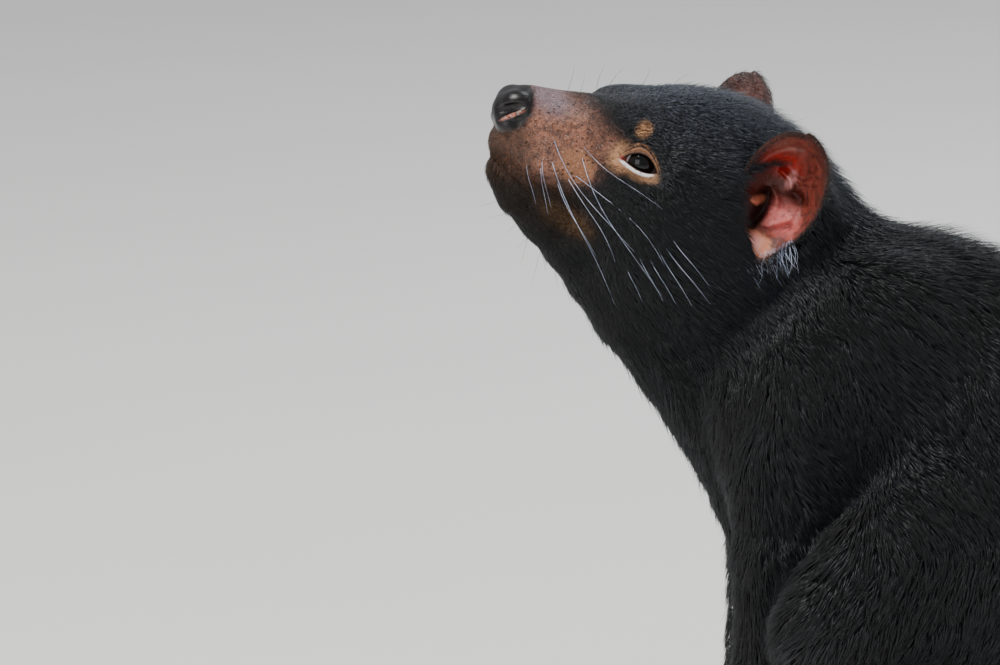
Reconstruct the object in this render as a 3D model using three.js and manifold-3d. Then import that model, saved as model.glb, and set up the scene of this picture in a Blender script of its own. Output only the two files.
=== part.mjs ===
// A Tasmanian devil sitting on its haunches with its muzzle raised, as a life-size museum model.
// Millimetres. -X is forward, towards the nose, +Y is the animal's right, +Z is up, and the floor is at Z = 0.
// The flesh is one smooth field of blended limbs and swellings, measured to the outside of the coat.
// It is meshed region by region, and flat cuts a little apart make the separate pieces.
import * as THREE from "three";
import { mergeVertices } from "three/addons/utils/BufferGeometryUtils.js";
import Module from "manifold-3d";

const wasm = await Module();
wasm.setup();

// Driving dimensions
const gap = 0.3; // kept between pieces that touch
const sides = { left: -1, right: 1 }; // which way each side of the body lies along Y

const skull = {
  centre: [85.5, 0, 303.7], // between the eyes and the ears, on the middle plane
  pitch: 30, // degrees that the muzzle is raised
  yaw: 10.5, // degrees that it is turned to the left
  roll: 4, // degrees that its left side is dropped
};

const eye = {
  radius: 8.2,
  place: [26, -2.3, 28], // forward, up and outward in the skull's frame
  look: [0.36, 0.1, 0.93], // forward, up and outward
  proud: 0.6, // how far the ball stands out of the flesh round it
  lid: 1.5, // thickness of the lids over the ball
  slit: { length: 15.5, height: 9.6 },
};

const ear = {
  centre: [-28.5, 18.3, 54], // of the cup's rim in the skull's frame: forward, up and outward
  halfHeight: 28,
  halfWidth: 18.8,
  depth: 16,
  wall: 2.4,
  tip: [0.25, 0.92, 0.3], // the way the ear's long axis runs
  face: [0.36, -0.14, 0.92], // the way the cup opens
};

const paw = { centre: [113, 44], height: 26 }; // of the fore paw's palm, and where the wrist is cut
const foot = { heel: [212, 86], ball: [156, 90], height: 26 };
const claw = { length: 14, radius: 2.4 };

// Small helpers
const radians = THREE.MathUtils.degToRad;
const clamp = THREE.MathUtils.clamp;
const lerp = THREE.MathUtils.lerp;
const vector = (list) => new THREE.Vector3(...list);
const bell = (distance, width) => Math.exp(-((distance / width) ** 2));

// The skull's frame: its axes are forward, up and towards the left ear.
const skullMatrix = new THREE.Matrix4();
{
  const forward = new THREE.Vector3(-Math.cos(radians(skull.pitch)), 0, Math.sin(radians(skull.pitch)));
  const up = new THREE.Vector3(Math.sin(radians(skull.pitch)), 0, Math.cos(radians(skull.pitch)));
  const left = new THREE.Vector3(0, -1, 0);
  skullMatrix.makeBasis(forward, up, left);
  skullMatrix.premultiply(new THREE.Matrix4().makeRotationX(radians(skull.roll)));
  skullMatrix.premultiply(new THREE.Matrix4().makeRotationZ(radians(skull.yaw)));
  skullMatrix.setPosition(...skull.centre);
}
const toSkull = skullMatrix.clone().invert();

// A form is a function of a point: negative inside, and about the distance outside.

// A rounded swelling: an ellipsoid.
function swelling(centre, radii) {
  const [cx, cy, cz] = centre;
  const [rx, ry, rz] = radii;
  return (x, y, z) => {
    const px = (x - cx) / rx;
    const py = (y - cy) / ry;
    const pz = (z - cz) / rz;
    const near = Math.hypot(px, py, pz);
    const slope = Math.hypot(px / rx, py / ry, pz / rz);
    return slope > 1e-9 ? (near * (near - 1)) / slope : -Math.min(rx, ry, rz);
  };
}

// A limb along a curve through stations, each [x, y, z, radius, width across Y as a share of the radius].
function chain(stations, steps = 6) {
  const path = new THREE.CatmullRomCurve3(stations.map(([x, y, z]) => new THREE.Vector3(x, y, z)));
  const sizes = new THREE.CatmullRomCurve3(stations.map(([, , , r, wide = 1]) => new THREE.Vector3(r, wide, 0)));
  const at = (i) => [...path.getPoint(i / steps).toArray(), ...sizes.getPoint(i / steps).toArray()];
  const pieces = [];
  for (let i = 0; i < steps; i += 1) {
    const [ax, ay, az, ar, aw] = at(i);
    const [bx, by, bz, br, bw] = at(i + 1);
    const wide = (aw + bw) / 2;
    const [dx, dy, dz] = [bx - ax, (by - ay) / wide, bz - az];
    pieces.push({ ax, ay, az, ar, aw, bw, br, wide, dx, dy, dz, square: dx * dx + dy * dy + dz * dz });
  }
  return (x, y, z) => {
    let nearest = Infinity;
    let radius = 0;
    for (const p of pieces) {
      const px = x - p.ax;
      const py = (y - p.ay) / p.wide;
      const pz = z - p.az;
      const along = clamp((px * p.dx + py * p.dy + pz * p.dz) / p.square, 0, 1);
      const across = (py * p.wide) / lerp(p.aw, p.bw, along) - along * p.dy;
      const away = Math.hypot(px - along * p.dx, across, pz - along * p.dz);
      if (away < nearest) {
        nearest = away;
        radius = lerp(p.ar, p.br, along);
      }
    }
    return nearest - radius;
  };
}

// The smaller of two values, with the corner between them rounded off.
function blend(a, b, soft) {
  const share = Math.max(soft - Math.abs(a - b), 0) / soft;
  return Math.min(a, b) - (share * share * soft) / 4;
}

// Forms blended one after another, each given as [form, softness].
function blended(forms) {
  return (x, y, z) => {
    let value = 1e3;
    for (const [form, soft] of forms) value = blend(value, form(x, y, z), soft);
    return value;
  };
}

// The head, in the skull's frame: forward, up, outward. It is alike on both sides.
const headForms = blended([
  [swelling([-18, -7, 0], [68, 48, 48]), 1], // braincase and its muscles
  [chain([[16, -16, 0, 31], [44, -15.5, 0, 25], [60, -15, 0, 21.5]], 4), 16], // upper muzzle
  [swelling([63, -27, 0], [17, 12, 16]), 8], // upper lip
  [chain([[-8, -46, 0, 34], [26, -42, 0, 25], [58, -40, 0, 15]], 4), 12], // lower jaw and throat
  [swelling([66, -39, 0], [13, 8, 11]), 6], // chin
  [swelling([-6, -18, 30], [38, 36, 24]), 16], // cheek
  [swelling([30, 9, 17], [15, 9, 11]), 12], // brow
  [swelling([52, -25, 12], [20, 13, 11]), 8], // whisker pad
  [swelling([-40, 12, 38], [18, 19, 13]), 14], // root of the ear
  [swelling([24, -1, 19], [15, 13, 10]), 10], // lids
]);
const headField = (x, y, z) => headForms(x, y, Math.abs(z));

// The bare pad of the nose, in the skull's frame
const noseForms = blended([
  [swelling([80.1, -12.4, 0], [11, 10.6, 9]), 1],
  [swelling([81, -9, 5.4], [8.8, 7.2, 6.2]), 3], // upper wing
  [swelling([80.4, -18.4, 5.8], [7.6, 5, 5.6]), 2.5], // lower wing
]);
const noseField = (x, y, z) => noseForms(x, y, Math.abs(z));

// Neck, chest, belly and rump
const trunkForms = blended([
  [chain([
    [98, 0, 268, 46, 1.08],
    [119, 0, 244, 57, 0.94],
    [150, 0, 217, 75, 0.86],
    [187, 0, 193, 85, 0.83],
    [222, 0, 168, 91, 0.84],
    [252, 0, 134, 84, 0.93],
    [274, 0, 92, 72, 1.02],
    [284, 0, 57, 57.5, 1.12],
  ], 24), 1],
  [chain([[91, 0, 219, 26], [121, 0, 178, 27], [135, 0, 140, 29], [157, 0, 118, 37]], 8), 22], // breast
]);

const tailForms = chain([
  [296, 0, 54, 38],
  [345, 0, 30, 28],
  [388, -3, 20.3, 21],
  [434, -10, 15.3, 16],
  [478, -20, 11.8, 12.5],
  [520, -33, 8.8, 9.5],
  [548, -44, 6.3, 7],
], 18);

// The same stations for the limb of either side
const onSide = (side, stations) => stations.map(([x, y, z, r, wide]) => [x, y * side, z, r, wide]);

function forelimbForms(side) {
  const upperArm = [[172, 40, 238, 32, 0.8], [142, 44, 204, 36, 0.8], [138, 49, 160, 32, 0.85], [147, 52, 128, 25, 0.9]];
  const foreArm = [[134, 50, 136, 28], [129, 48, 104, 21.5], [122, 45, 60, 15.5], [120, 44, 24, 14]];
  return blended([
    [chain(onSide(side, upperArm), 8), 1],
    [chain(onSide(side, foreArm), 8), 10],
  ]);
}

function hindlimbForms(side) {
  const thigh = [[252, 40, 112, 62, 0.9], [208, 58, 120, 54, 0.76], [174, 74, 117, 38, 0.8], [152, 86, 110, 27, 0.95]];
  const flankFold = [[198, 60, 158, 36, 0.8], [173, 74, 138, 32, 0.8], [154, 84, 114, 25, 0.9]];
  const shank = [[152, 87, 104, 25], [176, 86, 72, 23], [206, 86, 40, 17], [216, 86, 15, 14.5]];
  return blended([
    [chain(onSide(side, thigh), 10), 1],
    [chain(onSide(side, flankFold), 6), 14],
    [chain(onSide(side, shank), 8), 10],
  ]);
}

// Toes, each from [x, y] to [x, y] about the middle of the paw, with y outward, then a radius
const foreToes = [
  [[-1, -10], [-13, -17], 4.7],
  [[-9, -7], [-25, -11], 5.2],
  [[-11, -1], [-29, -2.5], 5.4],
  [[-10, 6], [-27, 7], 5.3],
  [[-5, 11], [-20, 16], 4.9],
];
const hindToes = [
  [[-4, -10], [-22, -12.5], 5],
  [[-6, -3.5], [-27, -4.5], 5.4],
  [[-6, 3.5], [-26, 4.5], 5.3],
  [[-3, 10], [-21, 13], 5],
];

function toeForms(toes, [cx, cy], side) {
  return toes.map(([[fx, fy], [tx, ty], r]) => {
    const stations = [[cx + fx, cy + fy, 8.5, r * 1.1], [cx + (fx + tx) / 2, cy + (fy + ty) / 2, 8.2, r], [cx + tx, cy + ty, r - 0.8, r]];
    return [chain(onSide(side, stations), 4), 1.6];
  });
}

function forePawForms(side) {
  const palm = [[118, 44, 10, 13, 1.1], [110, 44, 9.5, 11, 1.35], [104, 44, 8.2, 9, 1.5]];
  return blended([[chain(onSide(side, palm), 4), 1], ...toeForms(foreToes, paw.centre, side)]);
}

function hindFootForms(side) {
  const sole = [[214, 86, 11, 12], [186, 87, 10.5, 11.5, 1.1], [160, 89.5, 9.5, 10.2, 1.35], [153, 90, 8.5, 9, 1.5]];
  return blended([[chain(onSide(side, sole), 6), 1], ...toeForms(hindToes, foot.ball, side)]);
}

const limbs = {};
for (const side of Object.values(sides)) {
  limbs[side] = {
    fore: forelimbForms(side),
    hind: hindlimbForms(side),
    paw: forePawForms(side),
    foot: hindFootForms(side),
  };
}

const high = 55; // above this no foot is felt

// All of the flesh, in the frame of the whole animal
function flesh(x, y, z) {
  const m = toSkull.elements;
  const forward = m[0] * x + m[4] * y + m[8] * z + m[12];
  const up = m[1] * x + m[5] * y + m[9] * z + m[13];
  const out = m[2] * x + m[6] * y + m[10] * z + m[14];
  let value = blend(trunkForms(x, y, z), headField(forward, up, out), 32);
  value = blend(value, tailForms(x, y, z), 22);
  const limb = limbs[y < 0 ? sides.left : sides.right];
  value = blend(value, limb.fore(x, y, z), 22);
  value = blend(value, limb.hind(x, y, z), 11);
  if (z > high) return value;
  value = blend(value, limb.paw(x, y, z), 6);
  return blend(value, limb.foot(x, y, z), 6);
}

// Solids for cutting and joining, from closed geometries

function solid(geometry) {
  const bare = geometry.clone();
  bare.deleteAttribute("normal");
  bare.deleteAttribute("uv");
  const welded = mergeVertices(bare, 1e-4);
  const triVerts = new Uint32Array(welded.index.array);
  const vertProperties = new Float32Array(welded.attributes.position.array);
  const made = new wasm.Manifold(new wasm.Mesh({ numProp: 3, vertProperties, triVerts }));
  if (made.volume() > 0) return made;
  for (let i = 0; i < triVerts.length; i += 3) [triVerts[i], triVerts[i + 1]] = [triVerts[i + 1], triVerts[i]];
  return new wasm.Manifold(new wasm.Mesh({ numProp: 3, vertProperties, triVerts }));
}

function geometryOf(made) {
  const { vertProperties, triVerts } = made.getMesh();
  const geometry = new THREE.BufferGeometry();
  geometry.setAttribute("position", new THREE.BufferAttribute(new Float32Array(vertProperties), 3));
  geometry.setIndex(new THREE.BufferAttribute(new Uint32Array(triVerts), 1));
  geometry.computeVertexNormals();
  return geometry;
}

const largest = (made) => made.decompose().sort((a, b) => b.volume() - a.volume())[0];

// Lines of a grid from first to last, with steps that follow a function of the place.
function gridLines(first, last, step) {
  const lines = [first];
  while (lines[lines.length - 1] < last) {
    const at = lines[lines.length - 1];
    lines.push(at + (typeof step === "function" ? step(at) : step));
  }
  return lines;
}

// Corners of a grid cell that share an edge, and those across a face from each other
const cellEdges = [[0, 1], [2, 3], [4, 5], [6, 7], [0, 2], [1, 3], [4, 6], [5, 7], [0, 4], [1, 5], [2, 6], [3, 7]];
const faceCrossings = [[0, 3], [1, 2], [4, 7], [5, 6], [0, 5], [1, 4], [2, 7], [3, 6], [0, 6], [2, 4], [1, 7], [3, 5]];

// Which corners of a cell hang together, inside and outside the form
function cornerGroups(inside) {
  const group = [0, 1, 2, 3, 4, 5, 6, 7];
  const join = (from, to) => {
    const [old, kept] = [group[from], group[to]];
    for (let n = 0; n < 8; n += 1) if (group[n] === old) group[n] = kept;
  };
  for (const [from, to] of cellEdges) if (inside[from] === inside[to]) join(from, to);
  for (const [from, to] of faceCrossings) if (!inside[from] && !inside[to]) join(from, to);
  return group;
}

// The skin of a form as a closed mesh: a vertex in each cell of a grid for each sheet of skin that passes through it.
function skinOf(form, [xs, ys, zs]) {
  const [nx, ny, nz] = [xs.length, ys.length, zs.length];
  const index = (i, j, k) => (i * ny + j) * nz + k;
  const value = new Float32Array(nx * ny * nz);
  for (let i = 0; i < nx; i += 1) {
    for (let j = 0; j < ny; j += 1) {
      for (let k = 0; k < nz; k += 1) {
        const edge = i === 0 || j === 0 || k === 0 || i === nx - 1 || j === ny - 1 || k === nz - 1;
        const found = form(xs[i], ys[j], zs[k]);
        value[index(i, j, k)] = edge ? Math.max(found, 0.01) : found;
      }
    }
  }
  const vertices = [];
  const cells = new Map();
  for (let i = 0; i < nx - 1; i += 1) {
    for (let j = 0; j < ny - 1; j += 1) {
      for (let k = 0; k < nz - 1; k += 1) {
        const corners = [];
        for (let n = 0; n < 8; n += 1) {
          const [a, b, c] = [i + (n >> 2), j + ((n >> 1) & 1), k + (n & 1)];
          corners.push([xs[a], ys[b], zs[c], value[index(a, b, c)]]);
        }
        const inside = corners.map((corner) => corner[3] < 0);
        if (inside.every((is) => is === inside[0])) continue;
        const group = cornerGroups(inside);
        const sheets = new Map();
        for (const [from, to] of cellEdges) {
          if (inside[from] === inside[to]) continue;
          const key = inside[from] ? group[from] * 8 + group[to] : group[to] * 8 + group[from];
          const [p, q] = [corners[from], corners[to]];
          const share = p[3] / (p[3] - q[3]);
          if (!sheets.has(key)) sheets.set(key, []);
          sheets.get(key).push([0, 1, 2].map((n) => lerp(p[n], q[n], share)));
        }
        const reach = 0.45 * Math.min(xs[i + 1] - xs[i], ys[j + 1] - ys[j], zs[k + 1] - zs[k]);
        const ids = new Map();
        for (const [key, crossings] of sheets) {
          ids.set(key, vertices.length);
          const mean = [0, 1, 2].map((n) => crossings.reduce((sum, at) => sum + at[n], 0) / crossings.length);
          vertices.push(ontoSkin(form, mean, reach));
        }
        cells.set(index(i, j, k), { group, inside, ids });
      }
    }
  }
  // The vertex that a cell has for the sheet crossing one of its edges
  const vertexAt = (i, j, k, from, to) => {
    const { group, inside, ids } = cells.get(index(i, j, k));
    return ids.get(inside[from] ? group[from] * 8 + group[to] : group[to] * 8 + group[from]);
  };
  const triangles = [];
  const square = (ring, turned) => {
    const way = turned ? [...ring].reverse() : ring;
    const far = (p, q) => Math.hypot(...vertices[p].map((v, n) => v - vertices[q][n]));
    const [p, q, r, s] = far(way[0], way[2]) < far(way[1], way[3]) ? way : [...way.slice(1), way[0]];
    triangles.push(p, q, r, p, r, s);
  };
  for (let i = 0; i < nx - 1; i += 1) {
    for (let j = 0; j < ny - 1; j += 1) {
      for (let k = 0; k < nz - 1; k += 1) {
        const inside = value[index(i, j, k)] < 0;
        const around = (axis) => [[1, 1], [0, 1], [0, 0], [1, 0]].map(([b, c]) => {
          const back = [[0, b, c], [c, 0, b], [b, c, 0]][axis];
          const from = (back[0] << 2) | (back[1] << 1) | back[2];
          return vertexAt(i - back[0], j - back[1], k - back[2], from, from | (4 >> axis));
        });
        if (j > 0 && k > 0 && inside !== value[index(i + 1, j, k)] < 0) square(around(0), !inside);
        if (i > 0 && k > 0 && inside !== value[index(i, j + 1, k)] < 0) square(around(1), !inside);
        if (i > 0 && j > 0 && inside !== value[index(i, j, k + 1)] < 0) square(around(2), !inside);
      }
    }
  }
  const geometry = new THREE.BufferGeometry();
  geometry.setAttribute("position", new THREE.BufferAttribute(new Float32Array(vertices.flat()), 3));
  geometry.setIndex(triangles);
  return geometry;
}

// The slope of a form at a point
function slopeOf(form, [x, y, z], small = 0.2) {
  return [
    (form(x + small, y, z) - form(x - small, y, z)) / (2 * small),
    (form(x, y + small, z) - form(x, y - small, z)) / (2 * small),
    (form(x, y, z + small) - form(x, y, z - small)) / (2 * small),
  ];
}

// A point moved along the slope of a form onto its skin, no further than a reach
function ontoSkin(form, start, reach) {
  let at = start;
  for (let n = 0; n < 4; n += 1) {
    const away = form(...at);
    const slope = slopeOf(form, at);
    const square = Math.max(slope.reduce((sum, s) => sum + s * s, 0), 0.2);
    at = at.map((v, axis) => v - (away * slope[axis]) / square);
  }
  const moved = Math.hypot(...at.map((v, n) => v - start[n]));
  const share = moved > reach ? reach / moved : 1;
  return start.map((v, n) => lerp(v, at[n], share));
}

// Where a straight line from a point inside a form leaves it
function leaving(form, from, direction) {
  const way = vector(direction).normalize();
  const at = vector(from);
  for (let n = 0; n < 60; n += 1) at.addScaledVector(way, -form(at.x, at.y, at.z) * 0.8);
  return at;
}

// Everything on the side of a flat cut that the normal points to, starting a little beyond the point
const vast = 1500;
function halfSpace(point, normal, beyond = 0) {
  const box = new THREE.BoxGeometry(vast, vast, vast);
  box.translate(0, 0, vast / 2 + beyond);
  const turn = new THREE.Quaternion().setFromUnitVectors(new THREE.Vector3(0, 0, 1), vector(normal).normalize());
  box.applyQuaternion(turn);
  box.translate(...point);
  return solid(box);
}

// A region with flat faces: each face is [point on it, normal pointing into the region].
const region = (faces, beyond) => faces
  .map(([point, normal]) => halfSpace(point, normal, beyond))
  .reduce((kept, next) => kept.intersect(next));

// A closed body through rings of points, each end closed onto the middle of its ring
function lofted(rings) {
  const around = rings[0].length;
  const middleOf = (ring) => ring.reduce((sum, point) => sum.add(point), new THREE.Vector3()).divideScalar(around);
  const points = [...rings.flat(), middleOf(rings[0]), middleOf(rings[rings.length - 1])];
  const faces = [];
  for (let j = 0; j < around; j += 1) {
    const next = (j + 1) % around;
    for (let i = 0; i < rings.length - 1; i += 1) {
      const [a, b, c, d] = [i * around + j, i * around + next, (i + 1) * around + next, (i + 1) * around + j];
      faces.push(a, b, d, b, c, d);
    }
    const last = (rings.length - 1) * around;
    faces.push(next, j, points.length - 2, last + j, last + next, points.length - 1);
  }
  const geometry = new THREE.BufferGeometry().setFromPoints(points);
  geometry.setIndex(faces);
  return geometry;
}

// A round tube along points, with a radius for each point, closed at both ends.
function tube(points, radii, around = 8, along = 10) {
  const path = new THREE.CatmullRomCurve3(points.map(vector));
  const sizes = new THREE.CatmullRomCurve3(radii.map((r, i) => new THREE.Vector3(r, i, 0)));
  const frames = path.computeFrenetFrames(along, false);
  const rings = [];
  for (let i = 0; i <= along; i += 1) {
    const centre = path.getPointAt(i / along);
    const radius = sizes.getPoint(i / along).x;
    const ring = [];
    for (let n = 0; n < around; n += 1) {
      const angle = (n / around) * Math.PI * 2;
      const point = centre.clone().addScaledVector(frames.normals[i], Math.cos(angle) * radius);
      ring.push(point.addScaledVector(frames.binormals[i], Math.sin(angle) * radius));
    }
    rings.push(ring);
  }
  return solid(lofted(rings));
}

// The cup of an ear, in its own frame: across (forward), along (to the tip), out (the way it opens).
function rimRadius(angle) {
  const [across, along] = [Math.cos(angle), Math.sin(angle)];
  const oval = 1 / Math.hypot(across / ear.halfWidth, along / ear.halfHeight);
  const turn = 2 * Math.PI;
  const away = ((angle - radians(274) + 1.5 * turn) % turn) - turn / 2; // from the lobe
  return oval * (1 + 0.07 * along * (across < 0 ? 1 : 0.3) + 0.14 * bell(away, 0.42));
}

// Folds inside the cup: places across and along in shares of its half width and height, then height and size.
const folds = [
  [0.62, -0.22, 5, 0.19], // knob before the canal
  [0.34, -0.1, -4.6, 0.19], // canal
  [0.1, 0.42, 1.4, 0.18],
  [0.02, 0.26, 2.4, 0.17], // long ridge down the middle
  [-0.12, 0.1, 3.2, 0.18],
  [-0.1, -0.06, 2.8, 0.17],
  [0.1, -0.32, 3.4, 0.22],
  [0.32, -0.48, 3.4, 0.2], // ledge under the canal
  [-0.42, -0.06, 2, 0.19],
  [0.5, -0.74, 3, 0.24], // lobe
];

function cupPoint(share, angle, wall, grown) {
  const radius = rimRadius(angle) * share;
  const [p, q] = [Math.cos(angle) * radius, Math.sin(angle) * radius];
  let out = -ear.depth * (1 - share ** 2.4) - wall * (1 - 0.45 * share ** 4);
  if (wall === 0) {
    for (const [across, along, height, size] of folds) {
      const near = Math.hypot(p / ear.halfWidth - across, q / ear.halfHeight - along);
      out += height * bell(near, size) * (1 - share ** 6);
    }
  }
  out -= 1.5 * Math.max(0, Math.cos(angle - radians(-20))) ** 2 * share ** 2; // the front edge lies closer
  const curl = 1 + grown / ear.halfWidth;
  return [p * curl, q * curl, out - grown];
}

const earAround = 20;
function earFrame() {
  const out = vector(ear.face).normalize();
  const along = vector(ear.tip).projectOnPlane(out).normalize();
  const across = new THREE.Vector3().crossVectors(along, out);
  return new THREE.Matrix4().makeBasis(across, along, out).setPosition(...ear.centre);
}

function earRing(share, wall, grown) {
  const ring = [];
  for (let n = 0; n < earAround; n += 1) {
    ring.push(vector(cupPoint(share, (n / earAround) * Math.PI * 2, wall, grown)));
  }
  return ring;
}

function earGeometry() {
  const inner = [0.1, 0.24, 0.38, 0.52, 0.66, 0.8, 0.91, 0.985].map((share) => earRing(share, 0, 0));
  const rim = earRing(1.03, ear.wall * 0.55, 0);
  const outer = [0.985, 0.88, 0.7, 0.45, 0.15].map((share) => earRing(share, ear.wall, 0));
  return lofted([...inner, rim, ...outer]);
}

// The cup filled up to a little over its rim and grown by the gap: what the head leaves free for it
function earSpace() {
  const lifted = earRing(0.985, 0, gap).map((point) => point.add(new THREE.Vector3(0, 0, 9)));
  const outer = [0.985, 0.88, 0.7, 0.45, 0.15].map((share) => earRing(share, ear.wall, gap));
  return lofted([lifted, earRing(1.03, ear.wall * 0.55, gap), ...outer]);
}

// An almond-shaped bar that opens the lids: its long axis runs forward and its depth along the look.
function almond() {
  const { length, height } = eye.slit;
  const shape = new THREE.Shape();
  shape.moveTo(length / 2, -0.6);
  shape.quadraticCurveTo(length * 0.16, height * 0.98, -length * 0.32, height * 0.34);
  shape.quadraticCurveTo(-length * 0.46, height * 0.12, -length / 2, -0.8);
  shape.quadraticCurveTo(-length * 0.1, -height * 0.98, length / 2, -0.6);
  return new THREE.ExtrudeGeometry(shape, { depth: 20, bevelEnabled: false, curveSegments: 7 });
}

function eyeFrame() {
  const out = vector(eye.look).normalize();
  const across = new THREE.Vector3(1, 0, 0).projectOnPlane(out).normalize();
  const along = new THREE.Vector3().crossVectors(out, across);
  const inner = vector(eye.place).addScaledVector(out, -20);
  const skin = leaving(headField, inner.toArray(), eye.look);
  const centre = skin.addScaledVector(out, eye.proud - eye.radius);
  return new THREE.Matrix4().makeBasis(across, along, out).setPosition(centre);
}

// Placing of things made for the left side of the skull: as they are, or mirrored for the right.
const skullSide = {
  left: skullMatrix,
  right: skullMatrix.clone().multiply(new THREE.Matrix4().makeScale(1, 1, -1)),
};
const placed = (geometry, ...matrices) => matrices
  .reverse()
  .reduce((moved, matrix) => moved.applyMatrix4(matrix), geometry);

// A claw: a curved cone from the end of a toe, in the frame of the whole animal.
function clawSolid([cx, cy], [[fx, fy], [tx, ty], radius], side, grown = 0) {
  const way = new THREE.Vector2(tx - fx, ty - fy).normalize();
  const at = (along, height) => {
    const x = cx + tx + way.x * along;
    const y = (cy + ty + way.y * along) * side;
    return [x, y, height];
  };
  const root = radius - 0.2;
  const points = [at(radius - 4, root + 1), at(radius + 1, root + 1.4), at(radius + 6, root + 0.2), at(claw.length, 1.6)];
  const radii = [claw.radius, claw.radius, claw.radius * 0.72, 0.5].map((r) => r + grown);
  return tube(points, radii, 5, 4);
}

// Materials in the animal's colours
const finish = (color, roughness, metalness = 0) => new THREE.MeshStandardMaterial({ color, roughness, metalness });
const look = {
  fur: () => finish(0x15161a, 0.75),
  face: () => finish(0x241d1c, 0.7),
  nose: () => finish(0x1a1617, 0.3),
  ear: () => finish(0xa8574f, 0.6),
  eye: () => finish(0x120c0a, 0.08),
  claw: () => finish(0x6f665c, 0.45),
};

const devil = new THREE.Group();
devil.name = "tasmanian_devil";
function add(name, made, material) {
  const mesh = new THREE.Mesh(geometryOf(made), material);
  mesh.name = name;
  devil.add(mesh);
}

// Flat cuts between the pieces, each [point, normal]
const neckSlope = [-0.595, 0, 0.803];
const cuts = {
  head: [[72, 0, 203], neckSlope],
  torso: [[93.5, 0, 174], neckSlope.map((n) => -n)],
  tail: [[338, 0, 30], [0.96, 0, -0.28]],
  floor: [[0, 0, 0], [0, 0, 1]],
};
const flip = ([point, normal]) => [point, normal.map((n) => -n)];

const forelimbFaces = (side) => [
  [[0, side * 15, 0], [0, side, -0.15]],
  [[95, 0, 207], [0.1, 0, -1]],
  [[166, 0, 100], [-1, 0, 0.2]],
  cuts.torso,
];
const hindlimbFaces = (side) => [
  [[130, side * 69, 0], [0.17, side, 0]],
  [[170, 0, 176], [0.05, 0, -1]],
  [[116, 0, 107], [0.862, 0, -0.507]],
  [[318, 0, 0], [-1, 0, 0]],
];

const below = (height) => [[0, 0, height], [0, 0, -1]];
const above = (height) => [[0, 0, height], [0, 0, 1]];

// A part of the flesh, meshed inside a box with a grid of its own
function fleshIn([x0, x1], [y0, y1], [z0, z1], step) {
  return solid(skinOf(flesh, [gridLines(x0, x1, step), gridLines(y0, y1, step), gridLines(z0, z1, step)]));
}

const onFloor = region([cuts.floor], 0);
const noClash = gap / 2;

// Torso and neck
const trunk = fleshIn([40, 400], [-125, 125], [-12, 320], 18).intersect(onFloor);
let torso = trunk.intersect(region([cuts.torso, flip(cuts.tail)], noClash));
for (const side of Object.values(sides)) {
  torso = torso.subtract(region(forelimbFaces(side), -noClash)).subtract(region(hindlimbFaces(side), -noClash));
}
add("torso", largest(torso), look.fur());
const collar = fleshIn([40, 240], [-90, 90], [150, 330], 15);
add("neck", largest(collar.intersect(region([flip(cuts.head), flip(cuts.torso)], noClash))), look.fur());
const brushLines = [gridLines(310, 570, 13), gridLines(-70, 50, 8), gridLines(-10, 80, 8)];
const brush = solid(skinOf(flesh, brushLines)).intersect(onFloor);
add("tail", largest(brush.intersect(region([cuts.tail], noClash))), look.fur());

// Limbs and feet
for (const [name, side] of Object.entries(sides)) {
  const span = side < 0 ? [-125, -5] : [5, 125];
  const foreRegion = region(forelimbFaces(side), noClash);
  const hindRegion = region(hindlimbFaces(side), noClash);
  const hindGrown = region(hindlimbFaces(side), -noClash);
  const arm = fleshIn([60, 200], span, [paw.height - 12, 225], 12).subtract(hindGrown);
  add(`foreleg_${name}`, largest(arm.intersect(foreRegion).intersect(region([above(paw.height)], noClash))), look.fur());
  const thigh = fleshIn([100, 330], span, [foot.height - 13, 195], 14);
  add(`hindleg_${name}`, largest(thigh.intersect(hindRegion).intersect(region([above(foot.height)], noClash))), look.fur());

  let palm = fleshIn([70, 150], side < 0 ? [-74, -14] : [14, 74], [-5, paw.height + 8], 6.6);
  palm = palm.subtract(hindGrown).intersect(foreRegion).intersect(region([below(paw.height)], noClash));
  let sole = fleshIn([112, 246], side < 0 ? [-116, -60] : [60, 116], [-5, foot.height + 8], 7.4);
  sole = sole.intersect(hindRegion).intersect(region([below(foot.height)], noClash));
  foreToes.forEach((toe, n) => {
    palm = palm.subtract(clawSolid(paw.centre, toe, side, gap));
    add(`fore_claw_${name}_${n + 1}`, clawSolid(paw.centre, toe, side), look.claw());
  });
  hindToes.forEach((toe, n) => {
    sole = sole.subtract(clawSolid(foot.ball, toe, side, gap));
    add(`hind_claw_${name}_${n + 1}`, clawSolid(foot.ball, toe, side), look.claw());
  });
  add(`forepaw_${name}`, largest(palm.intersect(onFloor)), look.fur());
  add(`hindfoot_${name}`, largest(sole.intersect(onFloor)), look.fur());
}

// Head: meshed in the skull's frame, finer towards the nose
const m = skullMatrix.elements;
const fleshOnSkull = (a, b, c) => flesh(
  m[0] * a + m[4] * b + m[8] * c + m[12],
  m[1] * a + m[5] * b + m[9] * c + m[13],
  m[2] * a + m[6] * b + m[10] * c + m[14],
);
const headSteps = (a) => (a < 5 ? 12 : lerp(7.5, 5.4, clamp((a - 5) / 40, 0, 1)));
const headLines = [
  gridLines(-110, 96, headSteps),
  gridLines(-128, 62, (b) => (b < -66 ? 13 : 6.8)),
  gridLines(-66, 66, (c) => lerp(6, 8, clamp((Math.abs(c) - 20) / 25, 0, 1))),
];
let head = solid(placed(skinOf(fleshOnSkull, headLines), skullMatrix));
head = largest(head.intersect(region([cuts.head], noClash)));

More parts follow.
